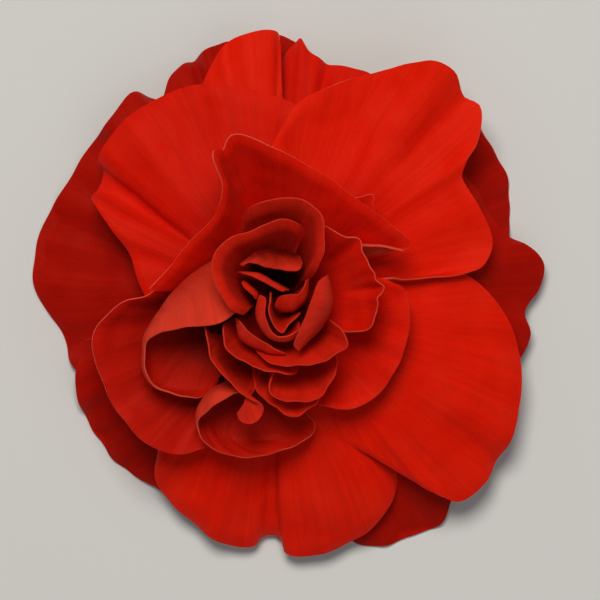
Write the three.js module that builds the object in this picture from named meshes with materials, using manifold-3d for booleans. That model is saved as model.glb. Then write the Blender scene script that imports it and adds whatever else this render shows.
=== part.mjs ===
// Double impatiens blossom, picked and lying face up on its outer petals.
// Millimetres, +Z up, +Y away from the viewer. The flower is built about its own
// axis and the finished group is moved so that the middle of its underside is the origin.
import * as THREE from "three";
import { mergeVertices } from "three/addons/utils/BufferGeometryUtils.js";
import Module from "manifold-3d";

const wasm = await Module();
wasm.setup();

// ---- driving dimensions ------------------------------------------------------
const PETAL_THICKNESS = 0.3;
const CLEARANCE = 0.3; // open gap kept between neighbouring pieces
const AXIS = [-1.2, -0.6]; // plan position of the flower's axis
const CLAW_WIDTH = 2.2; // width of a petal where it leaves the axis
const FOOT_RADIUS = 2.6; // distance of the lowest petal feet from the axis
const FOOT_TAPER = 0.17; // each millimetre higher the feet stand this much closer in
const FOOT_BASE = 4; // height of the lowest petal feet
const FOOT_RADIUS_LEAST = 0.9;
const RIB_LEAVE = 0.35; // share of a rib that keeps its rising direction
const RIB_ARRIVE = 0.4; // share of a rib that keeps its landing direction, unless the petal says
const END_RUN = 0.2; // share of the margin over which a petal's ends are rounded off
const FAN_STEPS = [10, 6]; // steps across and along a spreading petal
const FOLD_STEPS = [11, 7]; // steps across and along a folded petal
const RECEPTACLE = { bottom: 2.9, waist: 1.75, top: 0.35, low: 3.2, neck: 4.4, high: 12.0 };
const PEDICEL_RADIUS = 0.7;
const SPUR_RADIUS = 0.65;
const STEM_SIDES = 10;

// ---- colours -------------------------------------------------------------------
const SCARLET = { color: 0xd21f0c, roughness: 0.55, metalness: 0 };
const PALE_GREEN = { color: 0x9fae5c, roughness: 0.6, metalness: 0 };
const FLUSHED_GREEN = { color: 0xa8794e, roughness: 0.6, metalness: 0 };
const STEM_GREEN = { color: 0x7d9a48, roughness: 0.55, metalness: 0 };

// Spreading petals. Each has a claw at the axis (bearing in degrees, height of the foot)
// and a free margin; ribs leave the claw at the rise angle and reach the margin at the
// land angle, both in degrees above level and read from one end of the margin to the other.
const FAN_PETALS = [
  {
    name: "outer_petal_left", bearing: 158, height: 4.4, rise: [14], land: [-25, -10, -20, -30],
    margin: [[-8.5, 16.5, 1.8], [-12.2, 18.7, 1.8], [-14.8, 19.2, 2.4], [-17, 16.5, 2.6],
      [-19.4, 13.6, 1.8], [-21.6, 9.7, 0.9], [-23.6, 6.6, 0.4], [-24.5, 2.5, 0.4], [-23.7, -0.6, 0.4],
      [-22, -3.2, 0.6], [-21, -6.4, 1], [-19, -8.4, 1.6]],
  },
  {
    name: "outer_petal_lower_left", bearing: 212, height: 5, rise: [16], land: [-25],
    margin: [[-19.5, -4.5, 3.4], [-20.2, -7.2, 2.6], [-20.1, -9.8, 1.8], [-18.8, -13.2, 0.5],
      [-16.6, -15.9, 0.4], [-14.4, -17.7, 0.8], [-11.8, -18.9, 1.6], [-8.5, -18.6, 2.4]],
  },
  {
    name: "bottom_petal", bearing: 264, height: 6.4, rise: [16], land: [-20, -28, -25, -28, -18],
    margin: [[-12.4, -14.4, 4.6], [-12.6, -18.3, 3.6], [-9.6, -21.7, 3], [-5.6, -24.1, 2.4],
      [-3, -24.3, 2.2], [-1.6, -23.4, 2], [-0.4, -24.8, 2.2], [2.6, -25, 2.5], [6.6, -23.6, 3],
      [9.2, -20.8, 3.4], [10.6, -17.4, 3.7], [10.2, -14, 4.2]],
  },
  {
    name: "outer_petal_lower_right", bearing: 298, height: 4.6, rise: [16], land: [-24],
    margin: [[3, -22, 0.6], [6.6, -23.9, 0.5], [9.5, -23.9, 0.4], [12.4, -23, 0.4], [14.4, -22, 0.7],
      [15.6, -19.4, 1.6], [16.5, -15, 3]],
  },
  {
    name: "large_petal_lower_right", bearing: 318, height: 7.4, rise: [14], land: [-6, -14, -26, -18, -10],
    margin: [[1.6, -11.6, 7.6], [3.4, -13.4, 7.2], [7, -15, 6.6], [10.4, -17, 6], [13.8, -18.8, 5.2],
      [16.1, -19.9, 4.6], [18.8, -18, 4.3], [20.2, -15.8, 4.3], [21.9, -11, 4.6], [22, -6, 4.8],
      [20.4, -2, 5.2], [17.6, 1.2, 5.8], [12.5, 3.2, 7]],
  },
  {
    name: "outer_petal_right", bearing: 8, height: 5.8, rise: [14], land: [-22],
    margin: [[16, 12, 3.6], [18.2, 9.2, 3.4], [20.6, 5.6, 3], [22.6, 4.5, 2.6], [24.3, 2.7, 2.2],
      [23.8, 0.3, 2], [22.4, -2, 2.2], [22.9, -4, 2], [21.9, -6.4, 2.4], [18.5, -9.5, 3]],
  },
  {
    name: "outer_petal_upper_right", bearing: 42, height: 5, rise: [14], land: [-26],
    margin: [[12, 18.5, 2.2], [15.2, 17.6, 1.6], [18.1, 16, 0.7], [19.8, 13.2, 0.4], [20.9, 9.9, 0.4],
      [21.1, 6.4, 0.8], [20, 3, 1.6]],
  },
  {
    name: "large_petal_upper_right", bearing: 50, height: 8.2, rise: [16], land: [5, 12, 18, 5, 15, 10, 0],
    margin: [[-2.4, 12, 10], [-1, 14.9, 9.8], [0.9, 17.9, 9.2], [4.5, 19.7, 8.6], [8.2, 20.7, 8.4],
      [11.8, 21.7, 8.6], [13.8, 22, 8.8], [15.6, 21, 8.6], [16.6, 18.4, 8], [18, 17.7, 7.8],
      [17.6, 14, 8.4], [16.1, 11.2, 8.8], [18, 8, 8.2], [19.2, 4.6, 7.6], [18.1, 2.3, 7.4],
      [15, 1.6, 8], [10.5, 1.6, 9]],
  },
  {
    name: "top_petal_back_left", bearing: 108, height: 5.4, rise: [16], land: [-24],
    margin: [[-13.5, 14.5, 4.6], [-12.2, 18, 3.6], [-10.8, 21.2, 2.4], [-8.2, 22.9, 2], [-5.6, 24, 1.8],
      [-3.2, 23.6, 2.2]],
  },
  {
    name: "top_petal_back_right", bearing: 84, height: 4.4, rise: [16], land: [-24],
    margin: [[-3, 23, 0.7], [-1, 24.6, 0.4], [0.7, 23.8, 0.4], [2.4, 22.4, 0.6], [4, 20, 1.4]],
  },
  {
    name: "top_petal", bearing: 98, height: 6.6, rise: [14], land: [-18, -12, 0, -10],
    margin: [[-9.6, 16, 5.4], [-7.9, 20.6, 4.6], [-5.6, 23.9, 4.2], [-3.6, 24.75, 4.2],
      [-1.9, 24.95, 4.6], [-1, 24.4, 5.6], [-0.9, 21, 5.4], [-0.4, 17, 5.8]],
  },
  {
    name: "top_petal_right", bearing: 72, height: 6, rise: [14], land: [-18],
    margin: [[-0.6, 22.2, 2.4], [0.96, 24.3, 2.8], [1.9, 23, 3.3], [3.6, 22, 3.4], [6.1, 21.4, 3.4],
      [8.6, 20.2, 3.4], [11.5, 17, 3.8]],
  },
  {
    name: "large_petal_upper_left", bearing: 140, height: 7.8, rise: [16], land: [0, -5, -12, -4, 10],
    margin: [[3, 15.8, 7.6], [0.2, 18, 7.4], [-4, 19.3, 7], [-9, 19.7, 6.6], [-12.6, 18.4, 6.2],
      [-15.6, 16.3, 6], [-18.2, 12.6, 5.8], [-17.8, 10.7, 5.6], [-18.6, 9.2, 6.6], [-17, 6.4, 7.6],
      [-15.1, 4, 8], [-14.3, 1.4, 8], [-13, -1.4, 8]],
  },
  {
    name: "cup_petal_left", bearing: 206, height: 8.8, rise: [-4], land: [62, 42, 38, 26, 20, 26],
    margin: [[-6.4, 6.4, 13], [-8.6, 3.2, 12.6], [-11.2, 1, 12.2], [-14.2, -0.4, 11.7],
      [-17, -2.3, 11.2], [-18.6, -4.6, 10.7], [-17.6, -8, 10.1], [-15.8, -11.6, 9.7],
      [-13.4, -14.2, 9.4], [-10.4, -15, 9.2], [-6.6, -14.2, 9]],
  },
  {
    name: "cup_petal_right", bearing: 332, height: 9, rise: [2], land: [22, 26, 30, 34],
    margin: [[7.2, 1.6, 11.2], [10.6, 0.6, 11.4], [11.3, -1.8, 11.6], [10.9, -4.8, 11.6],
      [9.8, -7.6, 11.4], [7.4, -10.1, 11.2], [4.8, -10.9, 11.2], [1.6, -10, 11.2]],
  },
  {
    name: "hood_petal", bearing: 88, height: 9.3, rise: [-2], land: [50, 56, 56, 46, 38, 32],
    arrive: 0.5,
    margin: [[-12.9, 0.2, 13.4], [-11, 2.2, 14], [-8.6, 4.9, 15], [-6.5, 7.6, 16.4], [-6.1, 10.4, 17.4],
      [-6.7, 13.2, 17.8], [-5.9, 13.2, 16.6], [-5.2, 14.5, 16.8], [-3.2, 14.2, 16.6], [-0.6, 13, 16.4],
      [3, 10.9, 16], [6.7, 8.3, 15.2], [9.4, 6.3, 14.4], [11.2, 4.5, 13.6], [8.6, 4.7, 13.4],
      [6, 4.8, 14]],
  },
  {
    name: "hood_tip_petal", bearing: 62, height: 9.2, rise: [4], land: [26],
    margin: [[3.4, 8.4, 13.2], [6.4, 8.9, 13.6], [7.9, 9.2, 13.8], [7.9, 7.9, 13.4], [8.6, 5.6, 12.8]],
  },
  {
    name: "lower_petal_front", bearing: 286, height: 10, rise: [0], land: [56],
    ends: [0.3, 0.5], arrive: 0.6,
    margin: [[-4.2, -7.4, 13.4], [-2.9, -9.2, 13.8], [-1.2, -10.8, 13.6], [0.5, -11.6, 13.4],
      [2.3, -10.6, 13.4], [4.2, -9.2, 13]],
  },
  {
    name: "lower_petal_inner", bearing: 290, height: 10.5, rise: [0], land: [66],
    ends: [0.12, 0.3], arrive: 0.6,
    margin: [[-0.9, -7.4, 14.8], [-1.6, -7.9, 15.2], [-1.8, -8.8, 15.3], [-1, -9.8, 15],
      [1, -10.2, 14.8], [3, -9.6, 14.6], [4.3, -7.9, 14.8], [5.3, -6, 14.8]],
  },
  {
    name: "crumpled_petal", bearing: 8, height: 10.7, rise: [6], land: [62, 54, 44, 50, 60],
    ends: [0.2, 0.3], arrive: 0.6,
    margin: [[2.6, 7.4, 15.6], [4.9, 5.5, 16.4], [6.1, 5.1, 16.4], [7, 3.6, 16.2], [8.1, 1.9, 16],
      [8.6, 0.1, 15.8], [8.1, -2.2, 15.6], [7.2, -3.6, 15.4], [5.3, -4.2, 15.2]],
  },
  {
    name: "thin_rim_petal", bearing: 240, height: 11, rise: [0], land: [80],
    ends: [0.1, 0.35], arrive: 0.65,
    margin: [[-6.3, -3, 16], [-6, -4.8, 16.3], [-5, -6, 16.4], [-2.6, -7.1, 16.3], [-0.5, -7.5, 16],
      [1.6, -8, 15.6]],
  },
  {
    name: "lobe_petal", bearing: 296, height: 11.5, rise: [2], land: [62, 60, 80],
    ends: [0.3, 0.3], arrive: 0.6,
    margin: [[4.2, -2.2, 16.4], [5.2, -4, 17], [5.5, -4.9, 17], [4.6, -5.7, 16.9], [2.6, -6.5, 16.8],
      [0.4, -6.8, 16.8], [-1.6, -6.5, 16.8], [-3.6, -6, 16.4]],
  },
  {
    name: "arch_petal", bearing: 64, height: 11.9, rise: [0], land: [70, 78, 84, 84],
    ends: [0.2, 0.35], arrive: 0.62,
    margin: [[-5.2, 6.7, 15.2], [-3.5, 7.4, 17.8], [-1.6, 8.1, 19.1], [-0.2, 8.4, 19.6], [1.3, 8, 19.8],
      [2.5, 7, 20], [2.8, 5.5, 20], [2.7, 3.8, 19.6], [2.2, 2.7, 18.9], [1.7, 1.7, 17.8]],
  },
  {
    name: "ring_petal", bearing: 146, height: 12.3, rise: [0], land: [82, 86, 80, 74],
    ends: [0.35, 0.25], arrive: 0.62,
    margin: [[1.5, 4.9, 16.4], [1.3, 5.8, 17.6], [-0.6, 6.1, 18.2], [-2.9, 5.3, 18.3],
      [-4.8, 4.7, 18.6], [-6.1, 3.6, 19], [-6.5, 2.1, 19.2], [-5.9, 0.4, 19.2], [-4.9, -1.1, 18.9],
      [-4.1, -1.8, 18.2]],
  },
];

// Folded petals. Each is a run of rails from the claw, over the fold, to the free margin.
const FOLDED_PETALS = [
  {
    name: "fold_petal_left", ends: [0.06, 0], rails: [
      [[-2.4, -0.4, 9.8], [-2.6, -0.6, 9.8], [-2.7, -0.9, 9.8], [-2.7, -1.3, 9.8], [-2.5, -1.6, 9.8]],
      [[-5.2, 1.9, 11.2], [-6.8, 1, 10.9], [-8.4, -0.8, 10.3], [-9.4, -3.6, 9.7], [-8.2, -6.6, 9.8],
        [-5.4, -6.4, 10]],
      [[-6.4, 3.4, 12.9], [-8.4, 2.2, 13], [-11.6, -0.8, 12], [-13.4, -4.4, 10.9], [-12.5, -8.4, 10.3],
        [-8.6, -9.2, 10.1], [-6.6, -8, 10.1]],
      [[-6.1, 2.3, 14.7], [-7.4, 0.7, 15.2], [-10.2, -1.2, 14.6], [-13.5, -4.1, 12.6],
        [-13.2, -8.1, 11.5], [-9.2, -9.8, 10.8], [-6.8, -8.6, 10]],
      [[-4.2, -2, 17], [-6.6, -3, 16.6], [-10.4, -3.3, 15.4], [-13.3, -4.6, 13.6], [-13.1, -8, 12.4],
        [-9.2, -10, 11.3], [-6.8, -9, 10.1]],
    ],
  },
  {
    name: "swirl_petal_lower", ends: [0, 0.1], rails: [
      [[-0.6, -2.6, 9.4], [-0.9, -2.7, 9.4], [-1.3, -2.7, 9.4], [-1.7, -2.6, 9.4], [-2, -2.4, 9.4]],
      [[0.6, -9.6, 8.8], [-1.8, -10.2, 9], [-4, -10.2, 9.1], [-5.6, -9.4, 9.2], [-5.6, -8, 9.6],
        [-4, -7.4, 10.2]],
      [[1, -10.8, 8.8], [1.1, -12.1, 8.7], [-1.6, -13.3, 8.9], [-4.6, -13.6, 9], [-7.2, -12.6, 9.3],
        [-8.3, -10.6, 10], [-7.2, -9, 11], [-5.4, -8.5, 12], [-4, -8.8, 12.6]],
      [[1.3, -11, 8.9], [1.9, -12.1, 8.8], [1.4, -13.2, 9], [-1.2, -14.4, 9.5], [-4.4, -14.8, 9.8],
        [-7.6, -13.6, 10.2], [-8.9, -11.4, 11.1], [-7.7, -9.9, 12.6], [-5.8, -9.3, 13.5],
        [-4.2, -9.3, 13.6]],
      [[1.6, -11.2, 9], [2.4, -12.2, 9.1], [2.2, -13.2, 9.3], [0.7, -14.3, 9.8], [-1.4, -15, 10.2],
        [-4.6, -15.5, 10.5], [-7.6, -14.3, 11], [-8.8, -12.3, 12], [-7.4, -10.9, 13.4],
        [-5.6, -10.2, 14], [-4.3, -9.9, 14]],
    ],
  },
  {
    name: "swirl_petal_upper", rails: [
      [[-2.2, -1.9, 10.4], [-2.1, -2.2, 10.4], [-2, -2.5, 10.4], [-1.8, -2.8, 10.4]],
      [[-5.8, -3.8, 11.2], [-5.6, -6, 11.4], [-4, -8, 12.2], [-3.4, -8.6, 13], [-3.2, -8.9, 13.4]],
      [[-7.3, -3.8, 13.4], [-6.6, -6.6, 13.7], [-4.6, -8.8, 14.4], [-3.9, -9.6, 14.7], [-4, -10.2, 14.7]],
      [[-7.9, -3.2, 15.2], [-7.2, -6.2, 15.4], [-4.9, -9, 15.6], [-3.6, -9.9, 15.6],
        [-2.6, -10.4, 15.3], [-2.45, -11.2, 14.9], [-2.9, -11.95, 14.6], [-3.7, -12.3, 14.3],
        [-4.5, -12, 14.1], [-4.9, -11.3, 13.9]],
    ],
  },
  {
    name: "inner_fold_petal", ends: [0.12, 0.12], rails: [
      [[-2.2, 0.6, 12.9], [-1.6, 0.8, 12.9], [-0.8, 0.8, 12.9], [-0.2, 0.4, 12.9]],
      [[-3.5, 2.1, 14.2], [-2.5, 2.9, 14.2], [-0.6, 3, 14.2], [0.7, 2.5, 14.2]],
      [[-3.9, 2.7, 15.4], [-2.8, 3.7, 15.4], [-0.7, 4, 15.4], [1, 3.4, 15.4]],
      [[-4.4, 2.7, 16.6], [-3.1, 3.6, 16.8], [-0.9, 3.5, 16.8], [1.2, 3, 16.6]],
      [[-4.9, 2.5, 17.2], [-3.4, 3.2, 17.9], [-1.4, 2.8, 17.9], [0.6, 2.6, 17.7], [1.4, 2.5, 17.2]],
      [[-5.1, 2.3, 17.4], [-4.6, 2.5, 18], [-3.6, 2.8, 18.4], [-1.6, 2.3, 18.4], [0.2, 2.1, 18.2],
        [1.2, 2, 17.8], [1.6, 2.1, 17.3]],
    ],
  },
  {
    name: "heart_petal_upper", ends: [0.15, 0.2], rails: [
      [[-1.9, 0.5, 13.3], [-1.5, 0.5, 13.3], [-1.1, 0.4, 13.3]],
      [[-4.4, 1.7, 15.2], [-2.6, 1.4, 15], [-1.2, 0.8, 14.9], [-0.1, 0.3, 14.8]],
      [[-5, 2, 16.6], [-3.1, 1.8, 17.1], [-1.5, 1, 16.8], [-0.1, 0, 16.1]],
      [[-5.1, 1.9, 16.7], [-4.3, 1.9, 17.3], [-3.3, 1.45, 17.4], [-1.8, 0.75, 17.1], [-0.8, 0.15, 16.6],
        [0, -0.2, 15.9]],
    ],
  },
  {
    name: "heart_petal_left", ends: [0.15, 0.2], rails: [
      [[-1.9, -0.4, 13], [-1.8, -0.7, 13], [-1.7, -1, 13]],
      [[-3.8, 0.7, 14.8], [-3.1, 0.1, 14.8], [-2.8, -0.4, 14.8]],
      [[-4.5, 1.2, 16.2], [-3.6, 0.5, 16.4], [-3, -0.2, 16.2], [-3, -0.7, 15.9]],
      [[-4.7, 1.1, 16.2], [-4.2, 0.6, 16.8], [-3.6, 0, 16.8], [-3.2, -0.5, 16.4], [-3.05, -0.9, 15.9]],
    ],
  },
  {
    name: "heart_petal_right", ends: [0.1, 0.1], rails: [
      [[-0.4, -0.6, 12.8], [-0.4, -0.9, 12.8], [-0.4, -1.2, 12.8]],
      [[1.4, 0.6, 15.2], [1.2, -0.8, 15], [0.2, -1.5, 15], [-0.7, -1.6, 14.9]],
      [[1.8, 1.3, 17], [1.6, -0.5, 17], [0.5, -1.5, 16.8], [-0.6, -1.6, 16.5], [-1.3, -1.35, 16.2]],
      [[1.6, 1.7, 17.5], [1.4, 0.6, 17.9], [1, -0.1, 17.9], [0, -0.15, 17.8], [-0.8, -0.3, 17.5],
        [-1.5, -1.1, 16.5]],
    ],
  },
  {
    name: "heart_petal_inner", ends: [0.3, 0.3], rails: [
      [[-1.2, -1.3, 13.3], [-0.9, -1.4, 13.3], [-0.6, -1.3, 13.3]],
      [[-1.7, -0.2, 15], [-1.5, -1.8, 15], [-0.9, -2.6, 15], [-0.1, -2.3, 15], [0.8, -1.8, 15]],
      [[-1.7, 0.7, 16.4], [-1.75, -0.6, 17.2], [-1.85, -1.6, 17.2], [-1.4, -3, 17], [-0.6, -3.75, 17],
        [0, -2.9, 17], [0.9, -2.1, 16.9], [1.6, -1.5, 16.2]],
    ],
  },
  {
    name: "heart_petal_lower", ends: [0.3, 0.3], rails: [
      [[-1.4, -1.6, 12.7], [-0.9, -1.8, 12.7], [-0.4, -1.6, 12.7]],
      [[-2.3, -0.6, 14.6], [-2.4, -2.4, 14.6], [-1.3, -3.6, 14.5], [0.2, -3.2, 14.8], [0.8, -2.5, 15]],
      [[-2.7, 0.2, 16.6], [-3, -2.2, 16.8], [-1.7, -4.3, 16.6], [0.3, -4.3, 16.8], [1.1, -3.2, 17]],
      [[-2.5, 0.7, 16.8], [-2.2, -0.6, 17.8], [-2.2, -2.3, 17.8], [-1.2, -4.1, 17.6],
        [0.1, -3.95, 17.6], [0.9, -3.3, 17.6], [1.4, -2.6, 17]],
    ],
  },
  {
    name: "wrap_petal_right", ends: [0.1, 0.06], rails: [
      [[0, -1, 12.2], [0, -1.4, 12.2], [-0.1, -1.8, 12.2]],
      [[2.8, 0.6, 14], [2.7, -1.6, 14], [1.2, -3.6, 14]],
      [[3.6, 1.5, 16.6], [4, -0.8, 16.8], [3.1, -3, 16.2], [1.1, -5, 15.6]],
      [[3.5, 1.9, 17.6], [3.4, -0.6, 18.3], [2.5, -3, 17.6], [0.9, -5.4, 16.5]],
      [[3.3, 2.1, 17.8], [2.7, 0.9, 18.8], [2.1, -0.6, 19], [1.4, -2.6, 18.6], [0.65, -4.2, 18],
        [0.4, -5, 17.4], [0.7, -5.7, 16.6]],
    ],
  },
  {
    name: "wrap_petal_lower_left", ends: [0.1, 0.1], rails: [
      [[-1.9, -1.5, 12.2], [-1.7, -1.8, 12.2], [-1.3, -2, 12.2]],
      [[-4, -2.2, 13.4], [-3.4, -4, 13.3], [-1.2, -4.8, 13.2]],
      [[-5, -2.4, 15.2], [-4.5, -4.2, 15.6], [-2.4, -5.4, 15.4], [-0.2, -5.7, 15]],
      [[-4.9, -2, 15.8], [-4.4, -3, 16.6], [-3.3, -4, 16.8], [-2, -4.9, 16.6], [-0.9, -5.4, 16.2],
        [0.1, -5.7, 15.5]],
    ],
  },
];

// Sepals under the petals, in the same form as the spreading petals.
const SEPAL_THICKNESS = 0.35;
const SEPAL_STEPS = [8, 5];
const SIDE_SEPALS = [
  {
    name: "side_sepal_left", bearing: 158, height: 3.6, rise: [4], land: [-14],
    margin: [[-2.6, 1.6, 3.2], [-4.4, 3.4, 3.0], [-7.2, 3.8, 2.6], [-9.6, 2.6, 2.0], [-8.0, 0.8, 2.6],
      [-5.6, -0.4, 3.0], [-4.0, -1.0, 3.2]],
  },
  {
    name: "side_sepal_right", bearing: 18, height: 3.6, rise: [4], land: [-14],
    margin: [[1.8, -1.2, 3.2], [4.0, -0.8, 3.0], [6.2, 0.4, 2.6], [7.4, 2.6, 2.0], [5.2, 3.4, 2.6],
      [2.6, 3.0, 3.0], [0.8, 1.8, 3.2]],
  },
];
const SPUR_SEPAL = {
  name: "spur_sepal", bearing: 270, height: 3.5, rise: [-34], land: [24, 6, 24],
  margin: [[-3.4, -2.4, 3.4], [-5.2, -5.2, 3.2], [-4.4, -8.8, 2.8], [-1.4, -11.4, 2.4],
    [1.8, -8.8, 2.8], [2.8, -5.2, 3.2], [1.0, -2.4, 3.4]],
};
const SPUR_ROUTE = [
  [-1.3, -5.2, 2.1], [-0.6, -7.4, 1.3], [1.8, -9.8, 0.95], [5.2, -11.4, 0.95], [8.6, -11.8, 1.1],
];
const PEDICEL_ROUTE = [
  [-1.2, -0.6, 2.9], [-1.25, 0.1, 1.7], [-1.2, 2.0, 1.0], [-0.2, 8.0, 0.95], [1.6, 13.0, 0.95],
  [2.6, 17.0, 0.95],
];

// Where two petals crowd each other, the first gives way to the second.
const GIVES_WAY = [
  ["outer_petal_lower_right", "bottom_petal"],
  ["bottom_petal", "large_petal_lower_right"],
  ["hood_tip_petal", "hood_petal"],
  ["cup_petal_left", "hood_petal"],
  ["hood_petal", "fold_petal_left"],
  ["lower_petal_front", "swirl_petal_upper"],
  ["lobe_petal", "wrap_petal_right"],
  ["lobe_petal", "wrap_petal_lower_left"],
  ["ring_petal", "heart_petal_left"],
  ["heart_petal_upper", "inner_fold_petal"],
  ["heart_petal_left", "heart_petal_lower"],
  ["heart_petal_right", "heart_petal_inner"],
  ["fold_petal_left", "swirl_petal_lower"],
];

// ---- curves and sheets -----------------------------------------------------------
const toVector = ([x, y, z]) => new THREE.Vector3(x, y, z);
const curveThrough = (points) => new THREE.CatmullRomCurve3(points.map(toVector));
const radians = THREE.MathUtils.degToRad;

// Reads a short list of values as a smooth run over the share u from 0 to 1.
function valueAlong(values, u) {
  const place = u * (values.length - 1);
  const index = Math.min(Math.floor(place), Math.max(values.length - 2, 0));
  const next = Math.min(index + 1, values.length - 1);
  return THREE.MathUtils.lerp(values[index], values[next], place - index);
}

// Shares of a curve's own parameter that divide its length evenly.
function evenShares(curve, steps) {
  return Array.from({ length: steps + 1 }, (_, i) => curve.getUtoTmapping(i / steps));
}

function footPoint(petal, share, turn) {
  const reach = Math.max(FOOT_RADIUS_LEAST, FOOT_RADIUS - FOOT_TAPER * (petal.height - FOOT_BASE));
  const bearing = radians(petal.bearing);
  const sideways = turn * CLAW_WIDTH * (0.5 - share);
  return new THREE.Vector3(
    AXIS[0] + reach * Math.cos(bearing) - sideways * Math.sin(bearing),
    AXIS[1] + reach * Math.sin(bearing) + sideways * Math.cos(bearing),
    petal.height,
  );
}

// +1 where the margin starts on the anticlockwise side of the petal's bearing, else -1.
function startSide(petal) {
  const bearing = radians(petal.bearing);
  const [x, y] = petal.margin[0];
  const offset = -(x - AXIS[0]) * Math.sin(bearing) + (y - AXIS[1]) * Math.cos(bearing);
  return offset < 0 ? -1 : 1;
}

// How much of a rib is used: less where the margin starts and ends, to round off the petal.
function ribReach(petal, share) {
  const [start, end] = petal.ends ?? [0, 0];
  const near = (distance) => Math.max(0, 1 - distance / END_RUN) ** 2;
  return 1 - start * near(share) - end * near(1 - share);
}

function ribCurve(petal, share, turn, edge) {
  const foot = footPoint(petal, share, turn);
  const span = Math.hypot(edge.x - foot.x, edge.y - foot.y);
  const way = new THREE.Vector2(edge.x - foot.x, edge.y - foot.y).divideScalar(span);
  const along = (degrees) => {
    const angle = radians(degrees);
    return new THREE.Vector3(way.x * Math.cos(angle), way.y * Math.cos(angle), Math.sin(angle));
  };
  const landing = (petal.arrive ?? RIB_ARRIVE) * span;
  const leave = along(valueAlong(petal.rise, share)).multiplyScalar(RIB_LEAVE * span).add(foot);
  const arrive = along(valueAlong(petal.land, share)).multiplyScalar(-landing).add(edge);
  return new THREE.CubicBezierCurve3(foot, leave, arrive, edge);
}

// A spreading petal as rows of points, from the claw to the margin.
function fanSheet(petal, [across, along] = FAN_STEPS) {
  const margin = curveThrough(petal.margin);
  const turn = startSide(petal);
  const ribs = evenShares(margin, across).map((t, j) =>
    ribCurve(petal, j / across, turn, margin.getPoint(t)));
  return Array.from({ length: along + 1 }, (_, i) =>
    ribs.map((rib, j) => rib.getPoint((i / along) * ribReach(petal, j / across))));
}

// A folded petal as rows of points: its rails run across it and its ribs cross them.
function foldSheet(petal, [across, along] = FOLD_STEPS) {
  const rails = petal.rails.map(curveThrough);
  const shares = evenShares(rails[rails.length - 1], across);
  const ribs = shares.map((t) => new THREE.CatmullRomCurve3(rails.map((rail) => rail.getPoint(t))));
  return Array.from({ length: along + 1 }, (_, i) =>
    ribs.map((rib, j) => rib.getPointAt((i / along) * ribReach(petal, j / across))));
}

// ---- thickening a sheet into a closed solid ------------------------------------------
function sheetNormal(rows, i, j) {
  const row = (k) => rows[THREE.MathUtils.clamp(k, 0, rows.length - 1)];
  const last = rows[0].length - 1;
  const acrossStep = row(i)[Math.min(j + 1, last)].clone().sub(row(i)[Math.max(j - 1, 0)]);
  const alongStep = row(i + 1)[j].clone().sub(row(i - 1)[j]);
  return acrossStep.cross(alongStep).normalize();
}

function rimOrder(rowCount, columnCount) {
  const order = [];
  for (let j = 0; j < columnCount; j += 1) order.push(j);
  for (let i = 1; i < rowCount; i += 1) order.push(i * columnCount + columnCount - 1);
  for (let j = columnCount - 2; j >= 0; j -= 1) order.push((rowCount - 1) * columnCount + j);
  for (let i = rowCount - 2; i > 0; i -= 1) order.push(i * columnCount);
  return order;
}

// Upper and lower faces half a thickness off the sheet, and a wall around the edge.
function thicken(rows, thickness) {
  const columnCount = rows[0].length;
  const count = rows.length * columnCount;
  const positions = [];
  for (const side of [0.5, -0.5]) {
    rows.forEach((row, i) => row.forEach((point, j) => {
      const moved = sheetNormal(rows, i, j).multiplyScalar(side * thickness).add(point);
      positions.push(moved.x, moved.y, moved.z);
    }));
  }
  const faces = [];
  for (let i = 0; i + 1 < rows.length; i += 1) {
    for (let j = 0; j + 1 < columnCount; j += 1) {
      const [a, b] = [i * columnCount + j, i * columnCount + j + 1];
      const [c, d] = [b + columnCount, a + columnCount];
      faces.push(a, b, c, a, c, d);
      faces.push(count + a, count + c, count + b, count + a, count + d, count + c);
    }
  }
  const rim = rimOrder(rows.length, columnCount);
  rim.forEach((a, k) => {
    const b = rim[(k + 1) % rim.length];
    faces.push(a, count + a, count + b, a, count + b, b);
  });
  const geometry = new THREE.BufferGeometry();
  geometry.setAttribute("position", new THREE.Float32BufferAttribute(positions, 3));
  geometry.setIndex(faces);
  return geometry;
}

// ---- solids: joining and cutting ------------------------------------------------------
function toManifold(geometry) {
  const bare = geometry.clone();
  bare.deleteAttribute("normal");
  bare.deleteAttribute("uv");
  const merged = mergeVertices(bare, 1e-4);
  const solid = new wasm.Manifold(new wasm.Mesh({
    numProp: 3,
    vertProperties: new Float32Array(merged.attributes.position.array),
    triVerts: new Uint32Array(merged.index.array),
  }));
  return solid;
}

function toGeometry(solid) {
  const { vertProperties, triVerts } = solid.getMesh();
  const geometry = new THREE.BufferGeometry();
  geometry.setAttribute("position", new THREE.Float32BufferAttribute(vertProperties, 3));
  geometry.setIndex(Array.from(triVerts));
  return geometry;
}

// The largest single body of a cut solid.
function mainBody(solid) {
  return solid.decompose().reduce((best, body) => (body.volume() > best.volume() ? body : best));
}

// Cuts a solid back wherever a neighbour, grown by the clearance, reaches into it.
function giveWay(geometry, grownNeighbour) {
  return toGeometry(mainBody(toManifold(geometry).subtract(toManifold(grownNeighbour))));
}

// ---- petals -----------------------------------------------------------------------------
function petalGeometries() {
  const sheets = new Map();
  FAN_PETALS.forEach((petal) => sheets.set(petal.name, fanSheet(petal)));
  FOLDED_PETALS.forEach((petal) => sheets.set(petal.name, foldSheet(petal)));
  const solids = new Map();
  sheets.forEach((rows, name) => solids.set(name, thicken(rows, PETAL_THICKNESS)));
  for (const [name, neighbour] of GIVES_WAY) {
    const grown = thicken(sheets.get(neighbour), PETAL_THICKNESS + 2 * CLEARANCE);
    solids.set(name, giveWay(solids.get(name), grown));
  }
  return solids;
}

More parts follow.
